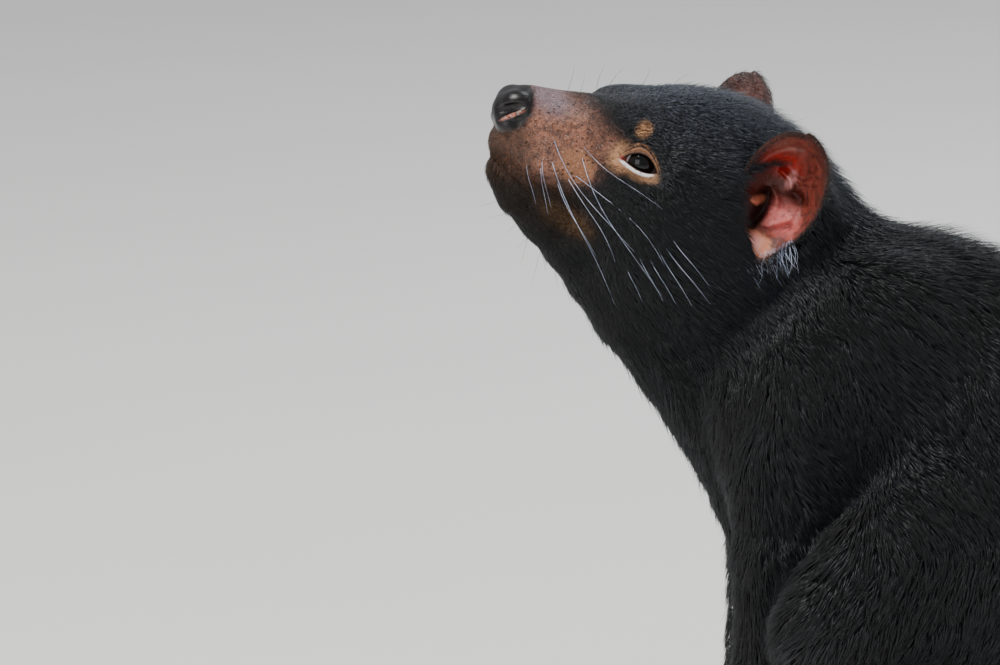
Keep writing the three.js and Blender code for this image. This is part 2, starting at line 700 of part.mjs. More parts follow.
// Lips: a swelling along each side of the line of the mouth, which is cut in between
const mouthLine = [[82, -34, 0], [79, -35.5, 9], [70, -37, 14], [58, -38, 19], [44, -38.5, 24], [28, -42.5, 28], [17, -48, 30]];
function mouthPoints(rise) {
  const left = mouthLine.map(([a, b, c]) => leaving(headField, [a * 0.6, b + rise, 0], [a * 0.4, 0, c]).toArray());
  const right = left.slice(1).map(([a, b, c]) => [a, b, -c]);
  return [...left.reverse(), ...right];
}
const alongLips = 22;
const taper = (middle, end) => mouthLine.slice(1).map((_, i) => lerp(end, middle, Math.min(1, i / 2)));
const bothWays = (middle, end) => [...taper(middle, end), middle * 0.6, ...taper(middle, end).reverse()];
const lip = (rise, middle, end) => {
  const made = tube(mouthPoints(rise), bothWays(middle, end), 6, alongLips);
  return made.transform(skullMatrix.elements);
};
head = head.add(lip(1.7, 1.7, 0.7)).add(lip(-1.8, 1.5, 0.6)).subtract(lip(0, 0.9, 0.5));

// Nose, with its nostrils and the groove under it
const noseSteps = (step) => [gridLines(60, 95, step), gridLines(-29, 6, step), gridLines(-16, 16, step)];
const noseSolid = (grown, step) => solid(skinOf((a, b, c) => noseField(a, b, c) - grown, noseSteps(step)));
let nose = noseSolid(0, 3.7);
for (const out of [1, -1]) {
  const nostril = [[90, -16, 3.2 * out], [86.5, -14.8, 8 * out], [81.5, -10.8, 12 * out], [75.5, -5, 14 * out]];
  nose = nose.subtract(tube(nostril, [1.6, 3, 2.2, 0.8], 8, 8));
}
nose = nose.subtract(tube([[94, -6, 0], [90.8, -16, 0], [87, -28, 0]], [0.6, 1, 1.1], 6, 5));
head = head.subtract(noseSolid(gap, 3.7).transform(skullMatrix.elements));
head = head.subtract(tube([[80, -22, 0], [82, -28, 0], [80.5, -35, 0]], [1.2, 1.1, 0.8], 6, 5).transform(skullMatrix.elements));
add("nose", largest(nose).transform(skullMatrix.elements), look.nose());

// Eyes under their lids, then ears
for (const name of Object.keys(sides)) {
  const socket = eyeFrame();
  const ball = (radius, across, down) => solid(placed(new THREE.SphereGeometry(radius, across, down), skullSide[name], socket));
  const lids = ball(eye.radius + eye.lid, 20, 14);
  const opening = solid(placed(almond(), skullSide[name], socket));
  head = head.add(lids).subtract(ball(eye.radius + gap, 14, 9)).subtract(opening);
  add(`eye_${name}`, ball(eye.radius, 14, 9), look.eye());
  head = head.subtract(solid(placed(earSpace(), skullSide[name], earFrame())));
  add(`ear_${name}`, solid(placed(earGeometry(), skullSide[name], earFrame())), look.ear());
}
add("head", largest(head), look.face());

// The whole is moved so that the middle of its footprint is the origin.
const box = new THREE.Box3().setFromObject(devil);
const middle = box.getCenter(new THREE.Vector3());
for (const mesh of devil.children) mesh.geometry.translate(-middle.x, -middle.y, 0);

export default devil;
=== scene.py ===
import math

import bmesh
import bpy
import numpy as np
from mathutils import Matrix, Vector
from mathutils.kdtree import KDTree


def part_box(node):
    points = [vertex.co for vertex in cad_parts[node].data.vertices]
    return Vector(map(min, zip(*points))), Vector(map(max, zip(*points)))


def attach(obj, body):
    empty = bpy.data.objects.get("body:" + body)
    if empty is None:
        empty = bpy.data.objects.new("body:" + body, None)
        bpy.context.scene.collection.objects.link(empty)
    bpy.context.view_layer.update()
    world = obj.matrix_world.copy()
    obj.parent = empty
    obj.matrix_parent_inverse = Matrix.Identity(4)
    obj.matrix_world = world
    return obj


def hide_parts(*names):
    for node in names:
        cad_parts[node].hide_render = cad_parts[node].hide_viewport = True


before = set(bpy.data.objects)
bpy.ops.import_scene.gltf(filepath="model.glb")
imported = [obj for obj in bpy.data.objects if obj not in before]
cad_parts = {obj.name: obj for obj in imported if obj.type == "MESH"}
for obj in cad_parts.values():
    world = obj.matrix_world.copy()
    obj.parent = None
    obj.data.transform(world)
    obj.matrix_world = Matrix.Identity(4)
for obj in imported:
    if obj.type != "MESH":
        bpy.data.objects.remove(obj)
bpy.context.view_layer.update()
metre = 0.001  # metres in one millimetre
rng = np.random.default_rng(11)

# The skull and what sits on it, as in the solids
skull = {
    "centre": (85.5, 0, 303.7),
    "pitch": 30,  # degrees that the muzzle is raised
    "yaw": 10.5,
    "roll": 4,
}
eye = {
    "radius": 8.2,
    "place": (26, -2.3, 28),  # forward, up and outward in the skull's frame
    "look": (0.36, 0.1, 0.93),
    "proud": 0.6,
    "lid": 1.4,
    "slit": 8.5,  # half its length
    "slitBack": 0.4,  # how far behind the ball's middle it is centred
    "upper": 5.3,  # how high the upper lid arches over the corners
    "lower": 1.9,
    "upperLean": 0.12,
    "lowerLean": 0.4,
    "corners": (-1.35, -0.85),  # the line through both: height, and rise over half the slit
    "corner": 5.2,  # how far the flesh in the corners lies before the ball's middle
    "gather": 1.3,  # how much closer the folds of the upper lid lie behind the eye than over it
}
ear = {
    "centre": (-28.5, 18.3, 54),
    "halfHeight": 28,
    "halfWidth": 18.8,
    "depth": 16,
    "wall": 2.4,
    "tip": (0.25, 0.92, 0.3),
    "face": (0.36, -0.14, 0.92),
    "around": 144,
}


def unit(v):
    v = np.array(v, float)
    return v / np.linalg.norm(v)


def bell(away, width):
    return np.exp(-((away / width) ** 2))


def lengths(v):
    return np.sqrt((v * v).sum(0))


def smoothStep(value, low, high):
    share = np.clip((value - low) / (high - low), 0, 1)
    return share * share * (3 - 2 * share)


def column(values):
    return np.array(values, float)[:, None]


def aroundTurn(count):
    # that many angles round a full turn
    return np.arange(count) / count * 2 * math.pi


def skullAxes():
    pitch = math.radians(skull["pitch"])
    forward = (-math.cos(pitch), 0, math.sin(pitch))
    up = (math.sin(pitch), 0, math.cos(pitch))
    level = np.array([forward, up, (0, -1, 0)]).T
    yaw = Matrix.Rotation(math.radians(skull["yaw"]), 3, "Z")
    roll = Matrix.Rotation(math.radians(skull["roll"]), 3, "X")
    return np.array(yaw @ roll) @ level


axes = skullAxes()  # its columns: forward, up, left
skullCentre = column(skull["centre"])


def toSkull(p):
    return axes.T @ (p - skullCentre)


def fromSkull(s):
    return axes @ s + skullCentre


def halfSkull(p):
    # in the skull's frame, with both sides laid over each other
    s = toSkull(p)
    s[2] = np.abs(s[2])
    return s


# A form takes points as three rows and gives a value for each: negative inside it, and outside about
# the distance to it.
def swelling(centre, radii):
    middle, size = column(centre), column(radii)

    def form(p):
        q = (p - middle) / size
        near = lengths(q)
        return near * (near - 1) / np.maximum(lengths(q / size), 1e-9)

    return form


def curvePoint(points, t):
    # centripetal Catmull-Rom, the curve of the solids
    points = np.array(points, float)
    last = len(points) - 1
    i = min(int(t * last), last - 1)
    share = t * last - i
    b, c = points[i], points[i + 1]
    a = points[i - 1] if i > 0 else 2 * points[0] - points[1]
    d = points[i + 2] if i + 2 <= last else 2 * points[last] - points[last - 1]
    steps = [math.sqrt(np.linalg.norm(q - p)) for p, q in ((a, b), (b, c), (c, d))]
    middle = steps[1] if steps[1] > 1e-4 else 1
    first, third = (step if step > 1e-4 else middle for step in (steps[0], steps[2]))
    start = ((b - a) / first - (c - a) / (first + middle) + (c - b) / middle) * middle
    end = ((c - b) / middle - (d - b) / (middle + third) + (d - c) / third) * middle
    cubic = 2 * b - 2 * c + start + end
    square = 3 * c - 3 * b - 2 * start - end
    return b + start * share + square * share**2 + cubic * share**3


def chain(stations, steps):
    # a limb through stations, each (x, y, z, radius, width across Y as a share of the radius)
    stations = [s if len(s) == 5 else (*s, 1) for s in stations]
    path = [curvePoint([s[:3] for s in stations], i / steps) for i in range(steps + 1)]
    sizes = [curvePoint([(*s[3:], 0) for s in stations], i / steps) for i in range(steps + 1)]
    pieces = []
    for (a, b), (sizeA, sizeB) in zip(zip(path, path[1:]), zip(sizes, sizes[1:])):
        wide = (sizeA[1] + sizeB[1]) / 2
        way = (b - a) / (1, wide, 1)
        pieces.append((a, way, way @ way, wide, sizeA, sizeB))

    def form(p):
        nearest = np.full(p.shape[1], 1e4)
        weights, radii = np.zeros((2, p.shape[1]))
        for a, way, square, wide, sizeA, sizeB in pieces:
            x, y, z = p[0] - a[0], (p[1] - a[1]) / wide, p[2] - a[2]
            along = np.clip((x * way[0] + y * way[1] + z * way[2]) / square, 0, 1)
            across = y * wide / (sizeA[1] + (sizeB[1] - sizeA[1]) * along) - along * way[1]
            away = np.sqrt((x - along * way[0]) ** 2 + across**2 + (z - along * way[2]) ** 2)
            nearer = np.minimum(nearest, away)
            kept, weight = np.exp(nearer - nearest), np.exp(nearer - away)
            radii = radii * kept + weight * (sizeA[0] + (sizeB[0] - sizeA[0]) * along)
            weights = weights * kept + weight
            nearest = nearer
        return nearest - radii / weights

    return form


def blend(a, b, soft):
    share = np.maximum(soft - np.abs(a - b), 0) / soft
    return np.minimum(a, b) - share * share * soft / 4


def carve(a, b, soft):
    return -blend(-a, b, soft)


farOff = 1e3  # the value of a form where it isn't worked out


def blended(forms):
    def form(p):
        value = np.full(p.shape[1], farOff)
        for part, soft in forms:
            value = blend(value, part(p), soft)
        return value

    return form


def onlyWhere(form, p, mask):
    value = np.full(p.shape[1], farOff)
    if mask.any():
        value[mask] = form(p[:, mask])
    return value


# The head in the skull's frame: forward, up, outward
headForms = blended([
    (swelling((-18, -7, 0), (68, 48, 48)), 1),  # braincase and its muscles
    (chain([(16, -16, 0, 31), (44, -15.5, 0, 25), (60, -15, 0, 21.5)], 4), 16),  # upper muzzle
    (swelling((63, -27, 0), (17, 12, 16)), 8),  # upper lip
    (chain([(-8, -46, 0, 34), (26, -42, 0, 25), (58, -40, 0, 15)], 4), 12),  # lower jaw and throat
    (swelling((66, -39, 0), (13, 8, 11)), 6),  # chin
    (swelling((-6, -18, 30), (38, 36, 24)), 16),  # cheek
    (swelling((30, 9, 17), (15, 9, 11)), 12),  # brow
    (swelling((52, -25, 12), (20, 13, 11)), 8),  # whisker pad
    (swelling((-40, 12, 38), (18, 19, 13)), 14),  # root of the ear
    (swelling((24, -1, 19), (15, 13, 10)), 10),  # lids
])
noseForms = blended([
    (swelling((80.1, -12.4, 0), (11, 10.6, 9)), 1),
    (swelling((81, -9, 5.4), (8.8, 7.2, 6.2)), 3),  # upper wing
    (swelling((80.4, -18.4, 5.8), (7.6, 5, 5.6)), 2.5),  # lower wing
])

# Trunk, tail and limbs in the frame of the whole animal
trunkForms = blended([
    (chain([
        (98, 0, 268, 46, 1.08),
        (119, 0, 244, 57, 0.94),
        (150, 0, 217, 75, 0.86),
        (187, 0, 193, 85, 0.83),
        (222, 0, 168, 91, 0.84),
        (252, 0, 134, 84, 0.93),
        (274, 0, 92, 72, 1.02),
        (284, 0, 57, 57.5, 1.12),
    ], 24), 1),
    (chain([(91, 0, 219, 26), (121, 0, 178, 27), (135, 0, 140, 29), (157, 0, 118, 37)], 8), 22),  # breast
])
tailStations = [
    (296, 0, 54, 38),
    (345, 0, 30, 28),
    (388, -3, 20.3, 21),
    (434, -10, 15.3, 16),
    (478, -20, 11.8, 12.5),
    (520, -33, 8.8, 9.5),
    (548, -44, 6.3, 7),
]
tailForms = chain(tailStations, 18)
foreLimb = blended([
    (chain([  # shoulder blade to elbow
        (172, 40, 238, 32, 0.8),
        (142, 44, 204, 36, 0.8),
        (138, 49, 160, 32, 0.85),
        (147, 52, 128, 25, 0.9),
    ], 8), 1),
    (chain([(134, 50, 136, 28), (129, 48, 104, 21.5), (122, 45, 60, 15.5), (120, 44, 24, 14)], 8), 10),
])
hindLimb = blended([
    (chain([  # thigh
        (252, 40, 112, 62, 0.9),
        (208, 58, 120, 54, 0.76),
        (174, 74, 117, 38, 0.8),
        (152, 86, 110, 27, 0.95),
    ], 10), 1),
    (chain([(198, 60, 158, 36, 0.8), (173, 74, 138, 32, 0.8), (154, 84, 114, 25, 0.9)], 6), 14),  # flank
    (chain([(152, 87, 104, 25), (176, 86, 72, 23), (206, 86, 40, 17), (216, 86, 15, 14.5)], 8), 10),
])
paw = {
    "centre": (113, 44),
    "toes": [
        ((-1, -10), (-13, -17), 4.7),
        ((-9, -7), (-25, -11), 5.2),
        ((-11, -1), (-29, -2.5), 5.4),
        ((-10, 6), (-27, 7), 5.3),
        ((-5, 11), (-20, 16), 4.9),
    ],
    "palm": [(118, 44, 10, 13, 1.1), (110, 44, 9.5, 11, 1.35), (104, 44, 8.2, 9, 1.5)],
}
foot = {
    "centre": (156, 90),
    "toes": [
        ((-4, -10), (-22, -12.5), 5),
        ((-6, -3.5), (-27, -4.5), 5.4),
        ((-6, 3.5), (-26, 4.5), 5.3),
        ((-3, 10), (-21, 13), 5),
    ],
    "palm": [
        (214, 86, 11, 12),
        (186, 87, 10.5, 11.5, 1.1),
        (160, 89.5, 9.5, 10.2, 1.35),
        (153, 90, 8.5, 9, 1.5),
    ],
}


def pawForms(made):
    cx, cy = made["centre"]
    forms = [(chain(made["palm"], 6), 1)]
    for (fx, fy), (tx, ty), r in made["toes"]:
        root = (cx + fx, cy + fy, 8.5, r * 1.1)
        joint = (cx + (fx + tx) / 2, cy + (fy + ty) / 2, 8.2, r)
        forms.append((chain([root, joint, (cx + tx, cy + ty, r - 0.8, r)], 4), 1.6))
    return blended(forms)


forePaw, hindFoot = pawForms(paw), pawForms(foot)


def flesh(p):
    # the outside of the coat
    s = halfSkull(p)
    head = onlyWhere(headForms, s, (s[0] > -150) & (s[1] > -150))
    value = blend(trunkForms(p), head, 32)
    value = blend(value, onlyWhere(tailForms, p, p[0] > 235), 22)
    q = np.array([p[0], np.abs(p[1]), p[2]])
    value = blend(value, onlyWhere(foreLimb, q, p[0] < 260), 22)
    value = blend(value, onlyWhere(hindLimb, q, (p[0] > 90) & (p[2] < 240)), 11)
    low = p[2] < 55
    value = blend(value, onlyWhere(forePaw, q, low & (p[0] < 170)), 6)
    return blend(value, onlyWhere(hindFoot, q, low & (p[0] > 90) & (p[0] < 260)), 6)


def leaving(form, start, way):
    # where a straight line from a point inside a form leaves it
    at, way = column(start), column(unit(way))
    for _ in range(60):
        at = at - way * form(at) * 0.8
    return at[:, 0]


def coatDepth(p, s):
    # how far the tips of the hairs stand out of the skin
    onHead = smoothStep(s[1], -105, -62) * smoothStep(s[0], -75, -30)
    head = np.interp(s[0], (-60, -15, 20, 36, 50, 68), (4.6, 3.6, 2.4, 1.2, 0.4, 0.15))
    head = np.maximum(head, 1.3 * smoothStep(-s[1], 24, 36))
    body = np.interp(p[2], (0, 12, 34, 70, 120), (0.6, 1.0, 1.5, 3.2, 4.8))
    tail = np.interp(p[0], (300, 400, 540), (4.8, 3.8, 2.4))
    body = np.where(p[0] > 262, tail, body)
    depth = body + (head - body) * onHead
    return np.minimum(depth, 0.25 + 0.22 * np.maximum(p[2], 0))


# Lips, lids and nostrils
mouthLine = [
    (82, -34, 0),
    (79, -35.5, 9),
    (70, -37, 14),
    (58, -38, 19),
    (44, -38.5, 24),
    (28, -42.5, 28),
    (17, -48, 30),
]


def mouthPath(rise, depth, middle, end):
    # a chain along the mouth, that much over its line and under the skin, with its radii
    stations = []
    for n, (a, b, c) in enumerate(mouthLine):
        out = leaving(headForms, (a * 0.6, b + rise, 0), (a * 0.4, 0, c))
        share = min(1, (len(mouthLine) - 1 - n) / 2)
        inner = out - unit((a * 0.4, 0, c)) * depth
        stations.append((*inner, end + (middle - end) * share))
    return chain(stations, 20)


mouthGroove = mouthPath(0, 1.3, 0.45, 0.2)
upperLip = mouthPath(1.8, 2.8, 1.7, 0.7)
lowerLip = mouthPath(-1.8, 2.9, 1.5, 0.6)
lipFront = blended([
    (swelling((76.6, -25.5, 0), (8.4, 8, 9.5)), 1),  # between the nose and the mouth
    (swelling((48, 2.4, 0), (15, 7, 9)), 1),  # bridge of the muzzle
    (swelling((74, -3, 0), (10.5, 5, 8.5)), 1),  # behind the top of the nose
])
nostril = chain([
    (91, -16.4, 4.6, 0.9),
    (88, -13.4, 8.2, 2.5),
    (84.6, -9.4, 11.2, 2.4),
    (80.6, -5.8, 12.2, 1.7),
    (77.2, -4, 11.4, 0.6),
], 10)
nostrilEdge = [(86.3, -17.5, 8.3), (83, -11.8, 12), (77.5, -5.8, 11)]  # along its lower side
noseMiddle = np.array((76, -12, 0), float)


def underNose(point, depth):
    # a place that far under the nose's skin, towards a point
    return leaving(noseForms, noseMiddle, point - noseMiddle) - unit(point - noseMiddle) * depth


lipRadii = (0.8, 1.2, 0.9)
nostrilLip = chain([(*underNose(point, 0.5), radius) for point, radius in zip(nostrilEdge, lipRadii)], 8)
philtrum = chain([(93, -9, 0, 0.4), (90.2, -17, 0, 0.8), (85, -26, 0, 0.9), (82, -33, 0, 0.7)], 6)


def eyeAxes():
    out = unit(eye["look"])
    across = unit(np.array((1, 0, 0)) - out * out[0])
    along = np.cross(out, across)
    start = np.array(eye["place"]) - 20 * out
    ball = leaving(headForms, start, out) + out * (eye["proud"] - eye["radius"])
    return np.array([across, along, out]).T, ball[:, None]


eyeTurn, eyeCentre = eyeAxes()


upperFolds = [  # ridges and creases over the eye: how far from the slit, height and width
    (1.6, 0.25, 0.5),
    (2.6, -0.45, 0.55),
    (3.8, 0.6, 0.6),
    (5, -0.45, 0.6),
    (6.2, 0.5, 0.7),
]
lowerFolds = [(3.1, 0.4, 0.6), (4.4, -0.25, 0.8)]


def slitDistance(u, v):
    # distance from the opening between the lids, negative inside it
    x = (u + eye["slitBack"]) / eye["slit"]
    arch = 1 - x * x
    middle = eye["corners"][0] + eye["corners"][1] * x
    upper = middle + eye["upper"] * arch * (1 + eye["upperLean"] * x)
    lower = middle - eye["lower"] * arch * (1 - eye["lowerLean"] * x)
    return np.maximum(v - upper, lower - v) / np.sqrt(1 + 0.7 * x * x)


def lidFold(u, slit):
    # the distance from the slit, as the folds of the upper lid follow it
    return slit * (1 + eye["gather"] * smoothStep(-u, -5, 9))


def lidded(value, s):
    near = (np.abs(s - eyeCentre) < 26).all(0)
    if not near.any():
        return value
    u, v, w = eyeTurn.T @ (s[:, near] - eyeCentre)
    away = np.sqrt(u * u + v * v + w * w)
    skin = blend(value[near], away - eye["radius"] - eye["lid"], 6)
    slit = np.where(w > 0, slitDistance(u, v), 30)
    above = smoothStep(v, -2, 1)
    fade = smoothStep(-np.abs(u), -13, -7)
    skin = skin - 0.5 * bell(slit - 0.9, 0.8)  # the rims of the lids
    fold = lidFold(u, slit)
    for at, height, width in upperFolds:
        skin = skin + above * fade * height * bell(fold - at, width)
    for at, height, width in lowerFolds:
        skin = skin + (1 - above) * fade * height * bell(slit - at, width)
    opening = np.maximum(slit, np.maximum(eye["radius"] - 0.7 - away, eye["corner"] - w))
    value = value.copy()
    value[near] = carve(skin, opening, 0.7)
    return value


faceForms = [  # over the flesh of the face, in this order, each with how softly it joins
    (blend, lipFront, 5),
    (blend, upperLip, 2.4),
    (blend, lowerLip, 2.4),
    (carve, mouthGroove, 1.2),
    (blend, noseForms, 2.2),
    (carve, nostril, 0.9),
    (blend, nostrilLip, 0.8),
    (carve, philtrum, 1.0),
]


def skinForm(p):
    s = halfSkull(p)
    value = flesh(p) + coatDepth(p, s)
    front = (s[0] > 4) & (s[1] > -70) & (s[2] < 70)
    if front.any():
        face = value[front]
        for change, form, soft in faceForms:
            face = change(face, form(s[:, front]), soft)
        value[front] = lidded(face, s[:, front])
    return np.maximum(value, -p[2])


# The skin as a mesh: a vertex in each cell of a grid for each sheet of skin that passes through it
# (a corner's number holds its place along x, y and z as bits, x highest)
cellEdges = [(n, n + step) for step in (1, 2, 4) for n in range(8) if not n & step]
faceCrossings = [(n, m) for n in range(8) for m in range(n + 1, 8) if bin(n ^ m).count("1") == 2]


def cellCorner(grid, n):
    # the values at one corner of every cell
    return grid[tuple(slice(1, None) if n >> bit & 1 else slice(None, -1) for bit in (2, 1, 0))]


def sheetTable():
    # for each set of corners inside: the sheet of skin that each edge of the cell belongs to, and how
    # many sheets there are
    sheets = np.full((256, 12), -1)
    counts = np.zeros(256, int)
    for code in range(256):
        inside = [bool(code >> n & 1) for n in range(8)]
        group = list(range(8))
        joins = [(a, b) for a, b in cellEdges if inside[a] == inside[b]]
        joins += [(a, b) for a, b in faceCrossings if not inside[a] and not inside[b]]
        for a, b in joins:
            old, kept = group[a], group[b]
            group = [kept if g == old else g for g in group]
        keys = []
        for n, (a, b) in enumerate(cellEdges):
            if inside[a] != inside[b]:
                key = (group[a], group[b]) if inside[a] else (group[b], group[a])
                if key not in keys:
                    keys.append(key)
                sheets[code, n] = keys.index(key)
        counts[code] = len(keys)
    return sheets, counts


def gridLines(stops, steps):
    # places along an axis, about a step apart between each two stops
    lines = []
    for low, high, step in zip(stops, stops[1:], steps):
        lines.append(np.linspace(low, high, max(1, math.ceil((high - low) / step)), endpoint=False))
    return np.append(np.concatenate(lines), stops[-1])


def gridPoints(lines):
    return np.array([grid.ravel() for grid in np.meshgrid(*lines, indexing="ij")])


def gridValues(form, lines):
    # the form is worked out in full only in the blocks of the grid that its skin may cross
    stride = 4  # cells in a block, each way
    picks = [np.unique(np.append(np.arange(0, len(line), stride), len(line) - 1)) for line in lines]
    coarse = [line[pick] for line, pick in zip(lines, picks)]
    rough = form(gridPoints(coarse)).reshape([len(line) for line in coarse])
    diagonal = np.sqrt(sum(grid**2 for grid in np.meshgrid(*map(np.diff, coarse), indexing="ij")))
    corners = [cellCorner(rough, n) for n in range(8)]
    crossed = np.min(np.abs(corners), axis=0) < 0.7 * diagonal + 7
    for axis in range(3):
        crossed = crossed | np.roll(crossed, 1, axis)
    blocks = []
    for pick, line in zip(picks, lines):
        block = np.searchsorted(pick, np.arange(len(line)), side="right") - 1
        blocks.append(np.clip(block, 0, len(pick) - 2))
    near = crossed[np.ix_(*blocks)]
    values = np.where(rough[np.ix_(*blocks)] < 0, -50.0, 50.0)
    found = np.nonzero(near)
    values[found] = form(np.array([line[at] for line, at in zip(lines, found)]))
    return values


def slope(form, p):
    # from four points about each, which also give the value
    small = 0.15
    ways = np.array([(1, -1, -1), (-1, -1, 1), (-1, 1, -1), (1, 1, 1)], float)
    found = [form(p + small * way[:, None]) for way in ways]
    return sum(way[:, None] * value for way, value in zip(ways, found)) / (4 * small), sum(found) / 4


def ontoSkin(form, points, reach):
    # points moved onto the skin in three steps, none of them further than its reach
    at = points.copy()
    for _ in range(3):
        steep, value = slope(form, at)
        at = at - value * steep / np.maximum((steep * steep).sum(0), 0.25)
        moved = at - points
        at = points + moved * np.minimum(1, reach / np.maximum(lengths(moved), 1e-9))
    return at


def netQuads(inside, vertexOf):
    # a quad across each line of the grid that the skin crosses, from the vertex of each cell beside it
    quads = []
    for axis in range(3):
        start, end = [slice(None)] * 3, [slice(None)] * 3
        start[axis], end[axis] = slice(0, -1), slice(1, None)
        crossed = inside[tuple(start)] != inside[tuple(end)]
        for side in range(3):
            for last in (0, -1):
                edge = [slice(None)] * 3
                edge[side] = last
                if side != axis:
                    crossed[tuple(edge)] = False
        at = np.nonzero(crossed)
        ring = []
        for b, c in ((1, 1), (0, 1), (0, 0), (1, 0)):
            back = [(0, b, c), (c, 0, b), (b, c, 0)][axis]
            corner = back[0] << 2 | back[1] << 1 | back[2]
            edge = cellEdges.index((corner, corner | (4 >> axis)))
            ring.append(vertexOf(tuple(at[n] - back[n] for n in range(3)), edge))
        ring = np.array(ring).T
        out = inside[at]
        ring[~out] = ring[~out][:, ::-1]
        quads.append(ring)
    return np.concatenate(quads)


def skinNet(form, lines):
    values = gridValues(form, lines)
    sheets, counts = sheetTable()
    inside = values < 0
    cells = sum(cellCorner(inside, n).astype(np.int64) << n for n in range(8))
    active = np.nonzero((cells > 0) & (cells < 255))
    codes = cells[active]
    first = np.cumsum(counts[codes]) - counts[codes]
    firstOf = np.zeros(cells.shape, np.int64)
    firstOf[active] = first
    total = int(counts[codes].sum())
    sums = np.zeros((3, total))
    crossings = np.zeros(total)
    for n, (a, b) in enumerate(cellEdges):
        cut = sheets[codes, n] >= 0
        at = [axis[cut] for axis in active]
        vertex = first[cut] + sheets[codes[cut], n]
        ends = []
        for corner in (a, b):
            where = tuple(at[axis] + (corner >> (2 - axis) & 1) for axis in range(3))
            ends.append((np.array([lines[axis][where[axis]] for axis in range(3)]), values[where]))
        (p, pv), (q, qv) = ends
        place = p + (q - p) * (pv / (pv - qv))
        for axis in range(3):
            sums[axis] += np.bincount(vertex, place[axis], total)
        crossings += np.bincount(vertex, minlength=total)
    spans = [np.diff(line)[at] for line, at in zip(lines, active)]
    reach = np.repeat(0.45 * np.min(spans, axis=0), counts[codes])
    vertices = ontoSkin(form, sums / crossings, reach)
    return vertices, netQuads(inside, lambda where, edge: firstOf[where] + sheets[cells[where], edge])


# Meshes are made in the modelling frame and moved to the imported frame, which an eye's place in both gives
def nodeCentre(name):
    low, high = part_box(name)
    return np.array((low + high) / 2) / metre


def eyeBall(side):
    return fromSkull(eyeCentre * [[1], [1], [side]])[:, 0]


sides = {"left": 1, "right": -1}  # along the skull's outward axis
shift = np.mean([eyeBall(side) - nodeCentre("eye_" + name) for name, side in sides.items()], axis=0)
shift[2] = 0


def inScene(name, data):
    made = bpy.data.objects.new(name, data)
    bpy.context.scene.collection.objects.link(made)
    return made


def meshObject(name, points, faces, uv=None):
    # points: three rows, in millimetres; faces: one row each; uv: two rows, one value for each point
    mesh = bpy.data.meshes.new(name)
    count, size = faces.shape
    mesh.vertices.add(points.shape[1])
    mesh.vertices.foreach_set("co", ((points.T - shift) * metre).astype(np.float32).ravel())
    mesh.loops.add(count * size)
    mesh.loops.foreach_set("vertex_index", faces.astype(np.int32).ravel())
    mesh.polygons.add(count)
    mesh.polygons.foreach_set("loop_start", np.arange(0, count * size, size, dtype=np.int32))
    mesh.polygons.foreach_set("loop_total", np.full(count, size, np.int32))
    mesh.polygons.foreach_set("use_smooth", np.full(count, True))
    if uv is not None:
        layer = mesh.uv_layers.new(name="OFBake")
        layer.data.foreach_set("uv", uv.T[faces.ravel()].astype(np.float32).ravel())
    mesh.update(calc_edges=True)
    return inScene(name, mesh)


def readRows(items, key, size, kind=np.float32):
    # what a mesh's vertices, loops or faces hold under a name, in rows of that size
    found = np.zeros(len(items) * size, kind)
    items.foreach_get(key, found)
    return found.reshape(-1, size)


def readPlaces(items, key="co"):
    return readRows(items, key, 3).T.astype(float) / metre + shift[:, None]


def ringFaces(rings, around):
    # quads between rings of points, one ring after another
    i, j = np.meshgrid(np.arange(rings - 1), np.arange(around), indexing="ij")
    following = (j + 1) % around
    start, end = i * around, (i + 1) * around
    corners = [start + j, start + following, end + following, end + j]
    return np.array(corners).reshape(4, -1).T


def loft(name, rings):
    # a closed body through rings of points, each end closed onto a small ring's middle
    around = rings[0].shape[1]
    ends = [rings[n].mean(1, keepdims=True) for n in (0, -1)]
    made = meshObject(name, np.concatenate([*rings, *ends], axis=1), ringFaces(len(rings), around))
    j = np.arange(around)
    following = (j + 1) % around
    middle = len(rings) * around
    last = middle - around
    fans = [(following, j, np.full(around, middle))]
    fans.append((last + j, last + following, np.full(around, middle + 1)))
    bm = bmesh.new()
    bm.from_mesh(made.data)
    bm.verts.ensure_lookup_table()
    for fan in np.concatenate(fans, axis=1).T:
        bm.faces.new([bm.verts[n] for n in fan]).smooth = True
    bmesh.ops.recalc_face_normals(bm, faces=bm.faces)
    bm.to_mesh(made.data)
    bm.free()
    return made


# Ears: a cup in its own frame of across (forward), along (to the tip) and out (the way it opens)
earFolds = [  # paths of (across, along), height and width
    ([(4.5, 6.2), (-0.4, 4.4), (-2.3, 0.6)], 4, 1.5),  # ridge down the middle
    ([(-2.4, 5.6), (-5.6, 5), (-11.7, 9)], 1.8, 1.2),
    ([(-4, 9), (-9, 11.4), (-13, 14.5)], 1, 1.1),
    ([(-8.5, 17.5), (-13.5, 11), (-15.4, 3)], 0.8, 1.4),
    ([(5.5, -3.4), (2.3, -5.6), (0.6, -9), (2.6, -12)], 2.2, 1.7),
    ([(-3, -1.4), (-8, -2.8)], -3, 2.6),  # hollow behind the ridge
    ([(2.4, -13.7), (-6.2, -10)], 3.4, 3.8),  # pad under the canal
    ([(5.5, -18.6), (0, -17.8), (-7.1, -11.5)], 1.4, 1.1),
    ([(4, -20.8), (-3, -19.6), (-8.4, -14.2)], -1.8, 1.3),  # crease over the lobe
    ([(14.5, -7.6), (9.4, -9.8)], 7, 1.9),  # knob before the canal
    ([(7.4, -6.2), (5.6, -13), (8, -20.5)], -6, 2.5),  # canal
    ([(4, 9)], -2.5, 7),
    ([(17, 4), (12.4, 13), (6.4, 18), (-1, 21)], -1.6, 1.1),  # inside the rim's fold
    ([(-12, -4), (-10, -13)], -1, 2.4),
]
lobe = {"place": (2.8, -25.2), "height": 5.4, "width": 6.2, "longer": 0.14, "angle": 274}


